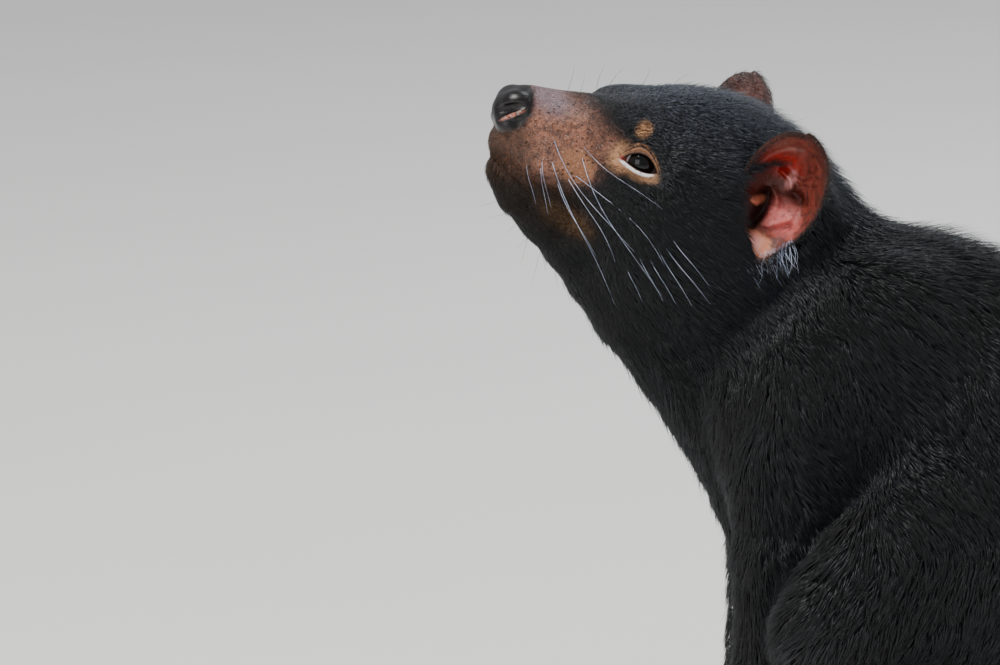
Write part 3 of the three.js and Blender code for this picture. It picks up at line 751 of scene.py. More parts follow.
def rimRadius(angle):
    across, along = np.cos(angle), np.sin(angle)
    oval = 1 / np.hypot(across / ear["halfWidth"], along / ear["halfHeight"])
    leaning = 0.07 * along * np.where(across < 0, 1, 0.3)
    away = (angle - math.radians(lobe["angle"]) + math.pi) % (2 * math.pi) - math.pi
    return oval * (1 + leaning + lobe["longer"] * bell(away, 0.42))


def pathDistance(path, x, y):
    # how far points of a plane lie from a path
    nearest = np.hypot(x - path[0][0], y - path[0][1])
    for (ax, ay), (bx, by) in zip(path, path[1:]):
        wx, wy = bx - ax, by - ay
        t = np.clip(((x - ax) * wx + (y - ay) * wy) / (wx * wx + wy * wy), 0, 1)
        nearest = np.minimum(nearest, np.hypot(x - ax - t * wx, y - ay - t * wy))
    return nearest


def cupOut(share, angle, wall, lobed=0.0):
    radius = rimRadius(angle) * share
    across, along = np.cos(angle) * radius, np.sin(angle) * radius
    out = -ear["depth"] * (1 - share**2.4) - wall * (1 - 0.45 * share**4)
    for path, height, width in earFolds:
        out = out + height * bell(pathDistance(path, across, along), width) * (1 - np.minimum(share, 1) ** 6)
    out = out + lobed * lobe["height"] * bell(pathDistance([lobe["place"]], across, along), lobe["width"])
    return out - 1.5 * np.maximum(0, np.cos(angle + math.radians(20))) ** 2 * share**2


def earAxes():
    out = unit(ear["face"])
    along = unit(np.array(ear["tip"]) - out * (out @ np.array(ear["tip"])))
    return np.array([np.cross(along, out), along, out]).T


earTurn = earAxes()
earCentre = column(ear["centre"])


def earRing(share, wall, side, lobed=0.0, lift=0):
    angle = aroundTurn(ear["around"])
    radius = rimRadius(angle) * share
    out = cupOut(share, angle, wall, lobed) + lift
    s = earTurn @ np.array([np.cos(angle) * radius, np.sin(angle) * radius, out]) + earCentre
    return fromSkull(s * [[1], [1], [side]])


def outerRings(wall, side):
    return [earRing(share, wall, side) for share in np.linspace(0.98, 0.05, 44)]


def earBody(name, side):
    inner = [earRing(share, 0, side, lobed=1) for share in np.linspace(0.03, 0.975, 56)]
    turn = [(1.0, 0.12), (1.022, 0.35), (1.03, 0.62), (1.015, 0.88)]  # over the rim: share and wall
    rim = [earRing(share, ear["wall"] * wall, side, lobed=1 - wall) for share, wall in turn]
    return loft("ear_" + name, [*inner, *rim, *outerRings(ear["wall"], side)])


def earRoom(name, side):
    # what the head leaves free for the cup
    top = [earRing(0.985, 0, side, lift=9), earRing(1.01, ear["wall"] * 0.4, side)]
    return loft("room_" + name, [*top, *outerRings(ear["wall"] * 0.7, side)])


def joined(body, other, how):
    # a body with another added or cut away, which is then removed
    change = body.modifiers.new(how, "BOOLEAN")
    change.operation = how
    change.solver = "MANIFOLD"
    change.object = other
    bpy.context.view_layer.update()
    made = body.evaluated_get(bpy.context.evaluated_depsgraph_get())
    done = bpy.data.meshes.new_from_object(made)
    body.modifiers.clear()
    old, body.data = body.data, done
    bpy.data.meshes.remove(old)
    bpy.data.objects.remove(other)


def skinGrid():
    # fine on the face and most of all around the eyes, coarse on the body
    balls = np.array([eyeBall(1), eyeBall(-1)])
    low, high = balls.min(0) - 11, balls.max(0) + 11
    nearEye = np.sort(balls[:, 1])
    xs = gridLines([-16, low[0], high[0], 165, 330, 575], [1.15, 0.75, 2.2, 5, 6])
    yStops = [-128, nearEye[0] - 15, nearEye[0] + 11, -18, 18, nearEye[1] - 11, nearEye[1] + 15, 128]
    ys = gridLines(yStops, [4.2, 0.8, 1.4, 1.4, 1.4, 0.9, 4.2])
    zs = gridLines([-7, 42, 215, 268, low[2], high[2], 356], [2.6, 5, 2.2, 1.3, 0.75, 1.2])
    return [xs, ys, zs]


points, quads = skinNet(skinForm, skinGrid())
print("skin", points.shape[1], "points", len(quads), "faces")
skin = meshObject("skin", points, quads)
for name, side in sides.items():
    joined(skin, earRoom(name, side), "DIFFERENCE")
    joined(skin, earBody(name, side), "UNION")
print("skin with ears", len(skin.data.vertices), "points", len(skin.data.polygons), "faces")

nodesOfFlesh = ["head", "neck", "torso", "tail", "nose"]
for part in ("ear", "foreleg", "forepaw", "hindleg", "hindfoot"):
    nodesOfFlesh += [f"{part}_{side}" for side in sides]


def unwrapped(body):
    bpy.context.view_layer.objects.active = body
    body.select_set(True)
    layer = body.data.uv_layers.new(name="OFBake")
    body.data.uv_layers.active = layer
    bpy.ops.object.mode_set(mode="EDIT")
    bpy.ops.mesh.select_all(action="SELECT")
    bpy.ops.uv.smart_project(angle_limit=1.15, island_margin=0.002)
    bpy.ops.object.mode_set(mode="OBJECT")
    body.select_set(False)


def cupPlace(s):
    # angle, share of the way to the rim, and out, in the ear's frame
    across, along, out = earTurn.T @ (s - earCentre)
    angle = np.arctan2(along, across)
    return angle, np.hypot(across, along) / rimRadius(angle), out


def insideCup(p, edge):
    # points on the bare inside of an ear, up to a share of the way to its rim
    angle, share, out = cupPlace(halfSkull(p))
    inner = cupOut(share, angle, 0, 1)
    return (share < edge) & (out > inner - ear["wall"] * 0.45) & (out < inner + 3)


unwrapped(skin)
print("skin unwrapped")

# The eyes: a ball with a bulging cornea, its own Z along the look
eyeball = {"rings": 40, "around": 64, "bulge": 0.02, "cornea": 0.6}


def eyeObject(name, side):
    angle = aroundTurn(eyeball["around"])
    rings = []
    for turn in np.linspace(0, math.pi, eyeball["rings"] + 2)[1:-1]:
        radius = eye["radius"] * (1 + eyeball["bulge"] * bell(turn, eyeball["cornea"]))
        across, height = radius * math.sin(turn), radius * math.cos(turn)
        rings.append(np.array([across * np.cos(angle), across * np.sin(angle), np.full(len(angle), height)]))
    ball = loft("eyeball_" + name, rings)
    co = readPlaces(ball.data.vertices) * metre
    ball.data.vertices.foreach_set("co", co.T.astype(np.float32).ravel())
    turned = axes @ (eyeTurn * [[1], [1], [side]])
    if np.linalg.det(turned) < 0:
        turned[:, 1] *= -1
    place = Matrix(turned.tolist()).to_4x4()
    place.translation = ((eyeBall(side) - shift) * metre).tolist()
    ball.matrix_world = place
    return ball


# Claws: curved and tapered, from the ends of the toes
claw = {"length": 14, "radius": 2.4, "tip": 0.35, "around": 14, "along": 12}


def clawRings(made, toe, side):
    (fx, fy), (tx, ty), r = toe
    cx, cy = made["centre"]
    way = unit((tx - fx, ty - fy))
    root = r - 0.2
    stations = [(r - 4, root + 1), (r + 1, root + 1.6), (r + 6, root + 0.5), (claw["length"], 1.3)]
    thick = claw["radius"]
    radii = [(thick, 0, 0), (thick, 1, 0), (thick * 0.72, 2, 0), (claw["tip"], 3, 0)]
    rings = []
    for n in range(claw["along"] + 1):
        t = n / claw["along"]
        along, height = curvePoint([(*s, 0) for s in stations], t)[:2]
        radius = curvePoint(radii, t)[0]
        angle = aroundTurn(claw["around"])
        beside = np.cos(angle) * radius * 0.8
        x = cx + tx + way[0] * along - way[1] * beside
        y = cy + ty + way[1] * along + way[0] * beside
        rings.append(np.array([x, y * side, height + np.sin(angle) * radius]))
    return rings


def clawsObject(name, made, side):
    parts = [loft(f"{name}_{n}", clawRings(made, toe, side)) for n, toe in enumerate(made["toes"])]
    bpy.ops.object.select_all(action="DESELECT")
    for part in parts:
        part.select_set(True)
    bpy.context.view_layer.objects.active = parts[0]
    bpy.ops.object.join()
    parts[0].name = name
    parts[0].select_set(False)
    return parts[0]


# Markings, and the places of painted sheen, highlights and shade, alike on both sides: the frame that each is
# placed in, centre, radii and how softly it ends
marks = {
    "muzzle": ("skull", (72, -12, 14), (31, 21, 30), 0.4),
    # the top of the snout: bare mauve-brown skin, with a bluish sheen painted into its colour
    "snoutSkinAndSheen": ("skull", (71, 0, 4), (10, 8, 14), 0.5),
    "cheek": ("skull", (50.5, -18, 26), (9, 8.5, 8), 0.3),
    "side": ("skull", (44, -5, 23), (10, 9, 12), 0.55),
    "lips": ("skull", (84, -29, 8), (18, 16, 19.5), 0.5),
    "jaw": ("skull", (58, -39, 16), (34, 14, 22), 0.5),
    "lipStripe": ("skull", (42, -41, 24), (14, 5.5, 12), 0.6),
    # the crown, where the coat's hairs take a painted bluish sheen
    "crown": ("skull", (-10, 30, 0), (62, 26, 46), 0.6),
    "browSpot": ("skull", (33.2, 10.6, 29), (3.3, 4.6, 4.5), 0.5),
    "pad": ("skull", (90, -9.5, 2), (14.1, 15.2, 34), 0.13),
    "nostrilRim": ("nostril", (-2, 0, 0), (5.2, 0.9, 4), 0.5),
    "eyeFront": ("eye", (8, -2, 4), (6.2, 7, 12), 0.45),
    "lids": ("eye", (-0.5, 1.6, 6), (10, 7.6, 14), 0.2),
    "lidPale": ("eye", (0.6, -1.8, 6), (8.6, 4.2, 20), 0.1),
    # a small bare wart, with its glint painted on as a pale dot
    "wartGlint": ("skull", (20, 5.6, 41), (1, 1, 3), 0.3),
    "lidUnder": ("eye", (-2, -3.4, 6), (8.6, 4.4, 20), 0.3),
    "eyeCorner": ("eye", (7.9, -2, 5.5), (1.7, 1.2, 4), 0.4),
    "earEmber": ("ear", (4.5, 9.5, 0), (8, 6, 40), 0.6),
    # painted shade in the deep bowl of the cup
    "bowlShade": ("ear", (10.5, 3, 0), (10, 11, 40), 0.5),
    # painted shade down the ear's canal
    "canalShade": ("ear", (8, -13.5, 0), (4.6, 10.5, 40), 0.35),
    "earKnob": ("ear", (9.8, -9.6, 0), (3, 2.2, 40), 0.4),
    "earPad": ("ear", (-3, -12.5, 0), (8.5, 6.5, 40), 0.5),
    # a painted highlight along the ridge down the middle of the cup
    "ridgeHighlight": ("ear", (-0.6, 3.8, 0), (2.2, 4.4, 40), 0.5),
    # painted shade in the hollow behind the ridge
    "hollowShade": ("ear", (-5.4, -2, 0), (5.5, 3, 40), 0.5),
    "earFold": ("ear", (15.5, 16, 0), (12, 8, 40), 0.5),
    "earInside": ("ear", (0.3, 0.6, 0), (15.4, 23.6, 60), 0.13),
    "earBack": ("ear", (-2, 17, -8), (16, 13, 16), 0.4),
    "lobe": ("ear", (3, -26.5, 0), (8.6, 7.4, 9), 0.3),
    # a painted highlight on the bulge of the lobe
    "lobeHighlight": ("ear", (3, -25, 3), (4, 4, 9), 0.6),
}
crispEdge = 0.12  # how softly a mark ends whose edge isn't ragged
bareMarks = {"muzzle": 1, "snoutSkinAndSheen": 1, "cheek": 1, "side": 0.7}  # how bare the skin of each is


def nostrilAxes():
    start, middle, end = np.array(nostrilEdge, float)
    along = unit(end - start)
    out = unit(np.array((0.45, 0, 0.9)) - along * (along @ (0.45, 0, 0.9)))
    return np.array([along, np.cross(out, along), out]).T, ((start + middle + end) / 3)[:, None]


places = {  # each frame's axes and origin in the skull's
    "skull": (np.eye(3), np.zeros((3, 1))),
    "eye": (eyeTurn, eyeCentre),
    "ear": (earTurn, earCentre),
    "nostril": nostrilAxes(),
}


def marked(name, s):
    # how much of a mark lies at each point, from 0 to 1
    which, centre, radii, soft = marks[name]
    turn, origin = places[which]
    away = (turn.T @ (s - origin) - column(centre)) / column(radii)
    return 1 - smoothStep(lengths(away), 1 - soft, 1 + soft)


def bareness(s):
    # how nearly bare the muzzle's skin is
    bare = np.max([share * marked(name, s) for name, share in bareMarks.items()], axis=0)
    return bare * (1 - 0.85 * marked("lips", s))


# The coat: each tuft is a thin closed blade that lies along the coat and overlaps those behind it
coat = {
    "perFace": 2.65,  # tufts in a square millimetre
    "perHead": 1.85,
    "perNeck": 1.0,
    "perBody": 0.55,
    "perPaw": 1.1,
    "longer": 2.7,  # length as a multiple of the coat's depth
    "loose": 0.1,  # share of hairs that stand out of the coat
    "bend": 0.7,
    "belly": 0.38,  # how far along a tuft is widest
    "lock": 0.3,  # how far the tips draw together
    "perLock": 22,  # tufts
    "rooted": 0.35,  # how far a root lies under the skin
    "patch": 0.0015,  # size of a tuft on the texture
}


def spineFall(x):
    return np.radians(np.interp(x, (80, 98, 150, 187, 222, 252, 274, 300), (42, 47, 38, 35, 44, 58, 70, 80)))


def turnedTo(flow, share, way):
    return flow * (1 - share) + column(way) * share


def lay(p, s, normal):
    # the way that the hairs point
    fall = spineFall(p[0])
    flow = np.array([np.cos(fall), np.zeros_like(fall), -np.sin(fall)])
    flank = smoothStep(np.abs(normal[1]), 0.25, 0.85)
    flow[2] -= 0.65 * flank
    under = smoothStep(-normal[0], 0.1, 0.8) * (p[0] < 200)
    flow = turnedTo(flow, under, (0.1, 0, -1))
    side = np.abs(p[1])
    thigh = smoothStep(side, 60, 78) * smoothStep(170 - p[2], 0, 30) * (p[0] > 130) * (p[0] < 300)
    flow = turnedTo(flow, thigh, (-0.45, 0, -0.9))
    leg = smoothStep(110 - p[2], 0, 30) * (p[0] < 170) * (side > 20)
    flow = turnedTo(flow, leg, (0.02, 0, -1))
    tailward = smoothStep(p[0], 290, 330)
    flow = turnedTo(flow, tailward, (0.96, -0.15, -0.18))
    feet = smoothStep(30 - p[2], 0, 16) * (p[0] < 260)
    flow = turnedTo(flow, feet, (-1, 0, -0.15))
    sway = np.where(p[1] < 0, 1, -1)
    cheek = axes @ np.array([[-1], [-0.12], [0.18]])
    head = np.array([cheek[0] + 0 * p[0], cheek[1] * sway, cheek[2] + 0 * p[0]])
    onHead = smoothStep(s[0], -70, -25) * smoothStep(s[1], -100, -60)
    flow = flow * (1 - onHead) + head * onHead
    flow = flow - normal * (flow * normal).sum(0)
    return flow / np.maximum(lengths(flow), 1e-6)


def wander(p, scale, seed):
    # a smooth and seemingly random value from -1 to 1
    total = np.zeros(p.shape[1])
    draw = np.random.default_rng(seed)
    for _ in range(5):
        way = unit(draw.normal(size=3)) * draw.uniform(0.7, 1.5) / scale
        total += np.sin(2 * math.pi * (way @ p) + draw.uniform(0, 6.3))
    return total / 3


def hairDepth(p, s):
    # the coat's depth, but short on the backs and rims of the ears
    angle, share, out = cupPlace(s)
    wall = np.abs(out - cupOut(share, angle, ear["wall"] / 2))
    onEar = smoothStep(4 - wall, 0, 2) * smoothStep(1.15 - share, 0, 0.05) * smoothStep(share, 0.4, 0.7)
    return coatDepth(p, s) * (1 - 0.74 * onEar)


def density(p, s, normal):
    depth = hairDepth(p, s)
    onFace = smoothStep(s[0], 5, 42) * smoothStep(s[1], -80, -45)
    onHead = smoothStep(s[0], -90, -25) * smoothStep(s[1], -110, -60)
    onNeck = smoothStep(185 - p[0], 0, 80) * smoothStep(p[2], 100, 160)
    found = coat["perBody"] + (coat["perNeck"] - coat["perBody"]) * onNeck
    onPaw = smoothStep(2.6 - depth, 0, 1.6) * (1 - onFace)
    for name, where in (("perHead", onHead), ("perFace", onFace), ("perPaw", onPaw)):
        found = found + (coat[name] - found) * where
    found = found * (1 - 0.8 * bareness(s))
    u, v, w = eyeTurn.T @ (s - eyeCentre)
    slit = slitDistance(u, v)
    above = smoothStep(v, -2, 1)
    nearEye = lengths(s - eyeCentre) < 20
    away = slit + (lidFold(u, slit) - slit) * above
    found = found * np.where(nearEye, smoothStep(away, 1.8 + 2 * above, 3.2 + 3 * above), 1)
    found = found * (1 - 0.25 * marked("eyeFront", s)) * (1 - marked("wartGlint", s))
    found = found * (1 - marked("lobe", s)) * (1 - marked("pad", s))
    found = found * (1 - 0.4 * marked("earBack", s))
    found[insideCup(p, 0.94)] = 0
    return found * ~((p[2] < 1.5) & (normal[2] < -0.5))


def roots(body):
    mesh = body.data
    mesh.calc_loop_triangles()
    count = len(mesh.loop_triangles)
    corner, loop = (readRows(mesh.loop_triangles, key, 3, np.int32) for key in ("vertices", "loops"))
    normals = readRows(mesh.vertex_normals, "vector", 3).astype(float)
    uv = readRows(mesh.uv_layers["OFBake"].data, "uv", 2).astype(float)
    co = readPlaces(mesh.vertices).T
    a, b, c = (co[corner[:, n]] for n in range(3))
    area = np.linalg.norm(np.cross(b - a, c - a), axis=1) / 2
    middle = ((a + b + c) / 3).T
    facing = normals[corner].mean(1).T
    wanted = np.cumsum(area * density(middle, halfSkull(middle), facing))
    number = int(wanted[-1])
    picked = np.searchsorted(wanted, (np.arange(number) + rng.random(number)) / number * wanted[-1])
    picked = np.clip(picked, 0, count - 1)
    u, v = rng.random((2, number))
    turned = u + v > 1
    u[turned], v[turned] = 1 - u[turned], 1 - v[turned]
    share = np.array([1 - u - v, u, v])

    def atRoots(values, index):
        return sum(share[n] * values[index[picked, n]].T for n in range(3))

    normal = atRoots(normals, corner)
    return atRoots(co, corner), normal / lengths(normal), atRoots(uv, loop)


def tufts(p, normal, uv):
    # a root, three points around its widest place and a tip for each
    s = halfSkull(p)
    depth = hairDepth(p, s)
    count = p.shape[1]
    flow = lay(p, s, normal)
    aside = np.cross(flow.T, normal.T).T
    turn = 0.28 * wander(p, 34, 3) + 0.16 * wander(p, 9, 4) + rng.normal(0, 0.1, count)
    flow = flow * np.cos(turn) + aside * np.sin(turn)
    aside = np.cross(flow.T, normal.T).T
    fluffy = smoothStep(s[1], 10, 30) * smoothStep(30 - s[0], 0, 30)  # the crown and the nape
    stands = rng.random(count) < coat["loose"] * (1 + 2.5 * fluffy)
    loose = np.where(stands, rng.uniform(1.1, 1.75, count) + 0.6 * fluffy, 1)
    rise = depth * rng.uniform(0.6, 1.04, count) * loose
    length = (coat["longer"] * depth + 1.1) * rng.uniform(0.75, 1.15, count) * (0.6 + 0.4 * loose)
    bare = bareness(s)
    length = length * (1 - 0.45 * bare)
    rise = np.minimum(rise * (1 - 0.4 * bare), length * 0.6)
    width = (0.225 + 0.092 * depth) * rng.uniform(0.7, 1.25, count) * (1 - 0.4 * bare) / loose
    reach = np.sqrt(length**2 - rise**2)
    tip = p + flow * reach + normal * rise
    centres = rng.choice(count, count // coat["perLock"], replace=False)
    tree = KDTree(len(centres))
    for n, at in enumerate(centres):
        tree.insert(tip[:, at], n)
    tree.balance()
    nearest = centres[[tree.find(at)[1] for at in tip.T]]
    pull = (tip[:, nearest] - tip) * coat["lock"] * smoothStep(depth, 1.5, 4)
    tip = tip + pull - normal * (pull * normal).sum(0)
    tip[2] = np.maximum(tip[2], 0.3)
    bend, belly = coat["bend"], coat["belly"]
    height = (1 + bend) * belly - bend * belly * belly
    middle = p + (tip - p - normal * rise) * belly + normal * rise * height
    middle[2] = np.maximum(middle[2], 0.4)
    root = p - normal * coat["rooted"]
    root[2] = np.maximum(root[2], 0.2)
    points = [
        root,
        middle + aside * width / 2,
        middle - aside * width / 2,
        middle + normal * width * 0.4,
        tip,
    ]
    corners = [(0, 2, 1), (0, 1, 3), (0, 3, 2), (4, 1, 2), (4, 3, 1), (4, 2, 3)]
    spots = [(-1, -1), (1, -0.8), (0.8, 1), (-0.8, 0.8), (0, 0)]
    points = np.stack(points, axis=2)  # rows, tufts, points of a tuft
    mapped = np.stack([uv + coat["patch"] * column(spot) for spot in spots], axis=2)
    return points, np.array(corners), mapped


coatRegions = {  # in the order of their choosing: slot and where they grow
    "coat_face": ("face_fur", lambda p, s: (s[0] > 14) & (s[2] > 0)),
    "coat_face_far": ("face_fur", lambda p, s: s[0] > 14),
    "coat_paws": ("paw_fur", lambda p, s: (p[2] < 26) & (p[0] < 262)),
    "coat_crown": ("face_fur", lambda p, s: (s[0] > -62) & (s[1] > -70) & (s[2] > 0)),
    "coat_crown_far": ("face_fur", lambda p, s: (s[0] > -62) & (s[1] > -70)),
    "coat_neck": ("body_fur", lambda p, s: (p[0] < 150) & (p[2] > 120) & (p[1] < 0)),
    "coat_neck_far": ("body_fur", lambda p, s: (p[0] < 150) & (p[2] > 120)),
    "coat_back": ("body_fur", lambda p, s: (p[0] < 235) & (p[2] > 120) & (p[1] < 0)),
    "coat_back_far": ("body_fur", lambda p, s: (p[0] < 235) & (p[2] > 120)),
    "coat_tail": ("body_fur", lambda p, s: p[0] > 335),
    "coat_rump": ("body_fur", lambda p, s: (p[0] > 200) & (p[1] < 0)),
    "coat_rump_far": ("body_fur", lambda p, s: p[0] > 200),
    "coat_legs": ("body_fur", lambda p, s: p[1] < 0),
    "coat_legs_far": ("body_fur", lambda p, s: p[1] >= 0),
}


def coatPieces():
    p, normal, uv = roots(skin)
    points, corners, mapped = tufts(p, normal, uv)
    s = toSkull(p)
    left = np.full(p.shape[1], True)
    made = []
    for name, (slot, belongs) in coatRegions.items():
        chosen = left & belongs(p, s)
        left &= ~chosen
        count = int(chosen.sum())
        faces = (np.arange(count)[:, None, None] * points.shape[2] + corners[None]).reshape(-1, 3)
        piece = meshObject(name, points[:, chosen].reshape(3, -1), faces, mapped[:, chosen].reshape(2, -1))
        print(name, len(faces), "triangles")
        made.append((piece, slot))
    print("coat", p.shape[1] * len(corners), "triangles")
    return made


# Whiskers: root (forward, up), tip (forward, up, outward), how far it bows up between them, thickness
paleWhiskers = [
    ((61, -14), (17, -35, 58), 3.4, 0.25),
    ((46, -15), (-3, -46, 63), 3.4, 0.19),
    ((48, -10), (16, -12, 58), 1.5, 0.12),
    ((47, -26), (20, -44, 51), -1.2, 0.21),
    ((45, -23), (4, -33, 65), -3.6, 0.17),
    ((57, -23), (8, -62, 44), 0.6, 0.2),
    ((50, -30), (25, -48, 42), 0.9, 0.17),
    ((61, -25), (51, -40, 28), 0.7, 0.15),
    ((60, -28), (50, -44, 26), 0.3, 0.15),
    ((66, -30), (57, -42, 24), 0.3, 0.13),
    ((4, -28), (-16, -43, 67), 0.9, 0.18),
    ((4, -25), (-22, -38, 70), 1.1, 0.2),
    ((1, -22), (-17, -31, 71), 0.6, 0.2),
    ((3, -35), (-10, -46, 64), 0.6, 0.17),
    ((7, -37), (-5, -48, 62), 0.5, 0.15),
    ((8, -45), (2, -53, 56), 0.2, 0.13),
]
darkWhiskers = [
    ((60, 4), (65, 19, 12), -0.6, 0.16),
    ((44, 10), (51, 24, 16), 0.8, 0.16),
    ((39, 13), (41, 27, 18), -0.8, 0.15),
    ((26, 19), (31, 33, 20), -0.8, 0.17),
    ((15, 24), (12, 39, 20), -1, 0.15),
    ((40, -54), (37, -76, 14), 1, 0.15),
    ((38, -55), (25, -72, 16), 1, 0.14),
    ((34, -57), (26, -72, 12), 0.6, 0.12),
    ((46, -52), (52, -66, 12), 0.5, 0.12),
    ((58, -49), (70, -60, 10), 0.5, 0.1),
]
# hairs along the rim of each ear: which way they point, and how much more to the outside of the rim
fringes = {
    "ear_fringe": {
        "count": 96,
        "angles": (234, 310),
        "share": 0.965,  # of the way to the rim
        "way": (-4.6, -8, 10.5),
        "spread": 0.2,
        "outward": 0,
        "thick": 0.105,
    },
    "ear_rim_hairs": {
        "count": 300,
        "angles": (-62, 165),
        "share": 0.985,
        "way": (-1.4, 0.4, 0.4),
        "spread": 0.1,
        "outward": 2.4,
        "thick": 0.13,
    },
}
hairSides = 5


def skinInSkull(s):
    return skinForm(fromSkull(s))


def hairRings(start, tip, bow, thick):
    # a thin round hair from a point to another, in the skull's frame
    way = tip - start
    along = int(np.clip(np.linalg.norm(way), 3, 9))
    aside = unit((way[1], -way[0], 0)) * (-1 if way[0] > 0 else 1)
    rings = []
    for n in range(along + 1):
        t = n / along
        bent = bow * 4 * t * (1 - t) + 0.012 * np.linalg.norm(way) * math.sin(2 * math.pi * t)
        centre = start - unit(way) * 0.8 + way * t - aside * bent
        beside = unit(np.cross(way, (0.3, 0.9, 0.2)))
        above = unit(np.cross(way, beside))
        radius = 0.58 * thick * (1 - t) ** 0.8 + 0.02
        angle = column(aroundTurn(hairSides))
        rings.append(centre + radius * (np.cos(angle) * beside + np.sin(angle) * above))
    return rings


def hairsObject(name, hairs):
    # hairs: start, tip, bow and thickness of each on one side, grown on both
    points, faces = [], []
    for side in sides.values():
        for hair in hairs:
            rings = hairRings(*hair)
            faces.append(ringFaces(len(rings), len(rings[0])) + sum(len(ring) for ring in points))
            points += [fromSkull((ring * (1, 1, side)).T).T for ring in rings]
    return meshObject(name, np.concatenate(points).T, np.concatenate(faces))


def whiskersObject(name, rows):
    hairs = []
    for (a, b), tip, bow, thick in rows:
        start = leaving(skinInSkull, (a, b, 2), (0.15, 0.05, 1))
        hairs.append((start, np.array(tip, float), bow, thick))
    return hairsObject(name, hairs)


def fringeObject(name):
    grown = fringes[name]
    hairs = []
    for degrees in np.linspace(*grown["angles"], grown["count"]):
        angle = math.radians(degrees + rng.uniform(-1.5, 1.5))
        share = np.array(grown["share"] + rng.uniform(-0.03, 0.03))
        radius, out = rimRadius(angle) * share, cupOut(share, np.array(angle), 0, 1)
        beside = np.array((math.cos(angle), math.sin(angle), 0))
        start = earTurn @ (beside * radius + (0, 0, out + 0.4)) + earCentre[:, 0]
        way = np.array(grown["way"]) + earTurn @ beside * grown["outward"]
        way = way * rng.uniform(0.4, 1.15) + rng.normal(0, grown["spread"], 3) * np.linalg.norm(way)
        bow = rng.uniform(-0.12, 0.16) * np.linalg.norm(way)
        hairs.append((start, start + way, bow, grown["thick"] * rng.uniform(0.8, 1.3)))
    return hairsObject(name, hairs)


# Materials
def added(tree, kind, links=None, **settings):
    # a shader node with its settings; links gives a value or another node's socket for an input
    made = tree.nodes.new(kind)
    for key, value in settings.items():
        setattr(made, key, value)
    for key, value in (links or {}).items():
        if isinstance(value, bpy.types.NodeSocket):
            tree.links.new(value, made.inputs[key])
        else:
            made.inputs[key].default_value = value
    return made


def newGroup(name, inputs, outputs):
    tree = bpy.data.node_groups.new(name, "ShaderNodeTree")
    for label, kind, value in inputs:
        socket = tree.interface.new_socket(name=label, in_out="INPUT", socket_type=kind)
        socket.default_value = value
    for label, kind in outputs:
        tree.interface.new_socket(name=label, in_out="OUTPUT", socket_type=kind)
    return tree, tree.nodes.new("NodeGroupInput"), tree.nodes.new("NodeGroupOutput")


def worked(tree, operation, *values):
    # one step of arithmetic on values or sockets
    return added(tree, "ShaderNodeMath", dict(enumerate(values)), operation=operation).outputs[0]


def times(tree, a, b):
    return worked(tree, "MULTIPLY", a, b)


def without(tree, a, b):
    # one mask less another
    return times(tree, a, worked(tree, "SUBTRACT", 1, b))


def stepped(tree, value, low, high, start=0, end=1):
    # a smooth step from start to end as the value goes from low to high
    return added(tree, "ShaderNodeMapRange", {
        "Value": value, "From Min": low, "From Max": high, "To Min": start, "To Max": end,
    }, interpolation_type="SMOOTHSTEP").outputs[0]


def moved(tree, operation, a, b):
    # one step of arithmetic on vectors
    return added(tree, "ShaderNodeVectorMath", {0: a, 1: b}, operation=operation).outputs[0]


def extent(tree, vector):
    return added(tree, "ShaderNodeVectorMath", {0: vector}, operation="LENGTH").outputs["Value"]


def noise(tree, place, size, detail=2, **settings):
    links = {"Vector": place, "Scale": size, "Detail": detail, **settings}
    return added(tree, "ShaderNodeTexNoise", links).outputs[0]


def objectPlace(tree):
    return added(tree, "ShaderNodeTexCoord").outputs["Object"]


def carried(tree, vector, turn, origin, scale=1):
    # a vector carried into a frame, from the frame's axes and origin
    return added(tree, "ShaderNodeMapping", {
        "Vector": vector,
        "Location": list(origin),
        "Rotation": Matrix(turn.tolist()).to_euler(),
        "Scale": (scale, scale, scale),
    }, vector_type="TEXTURE").outputs[0]


def lidDistance(tree, place):
    # the same as slitDistance and lidFold, in nodes, and how nearly a place is above the eye's corners
    split = added(tree, "ShaderNodeSeparateXYZ", {0: place})
    u, v = split.outputs[0], split.outputs[1]
    x = worked(tree, "DIVIDE", worked(tree, "ADD", u, eye["slitBack"]), eye["slit"])
    arch = worked(tree, "SUBTRACT", 1, times(tree, x, x))
    height, rise = eye["corners"]
    middle = worked(tree, "MULTIPLY_ADD", x, rise, height)
    leans = [(eye["upperLean"], eye["upper"]), (-eye["lowerLean"], eye["lower"])]
    arches = [worked(tree, "MULTIPLY_ADD", x, lean * tall, tall) for lean, tall in leans]
    upper, lower = (times(tree, arch, leaning) for leaning in arches)
    overUpper = worked(tree, "SUBTRACT", v, worked(tree, "ADD", middle, upper))
    underLower = worked(tree, "SUBTRACT", worked(tree, "SUBTRACT", middle, lower), v)
    away = worked(tree, "MAXIMUM", overUpper, underLower)
    fold = times(tree, away, stepped(tree, u, 5, -9, 1, 1 + eye["gather"]))
    return away, fold, stepped(tree, worked(tree, "SUBTRACT", v, middle), -0.6, 0.6)


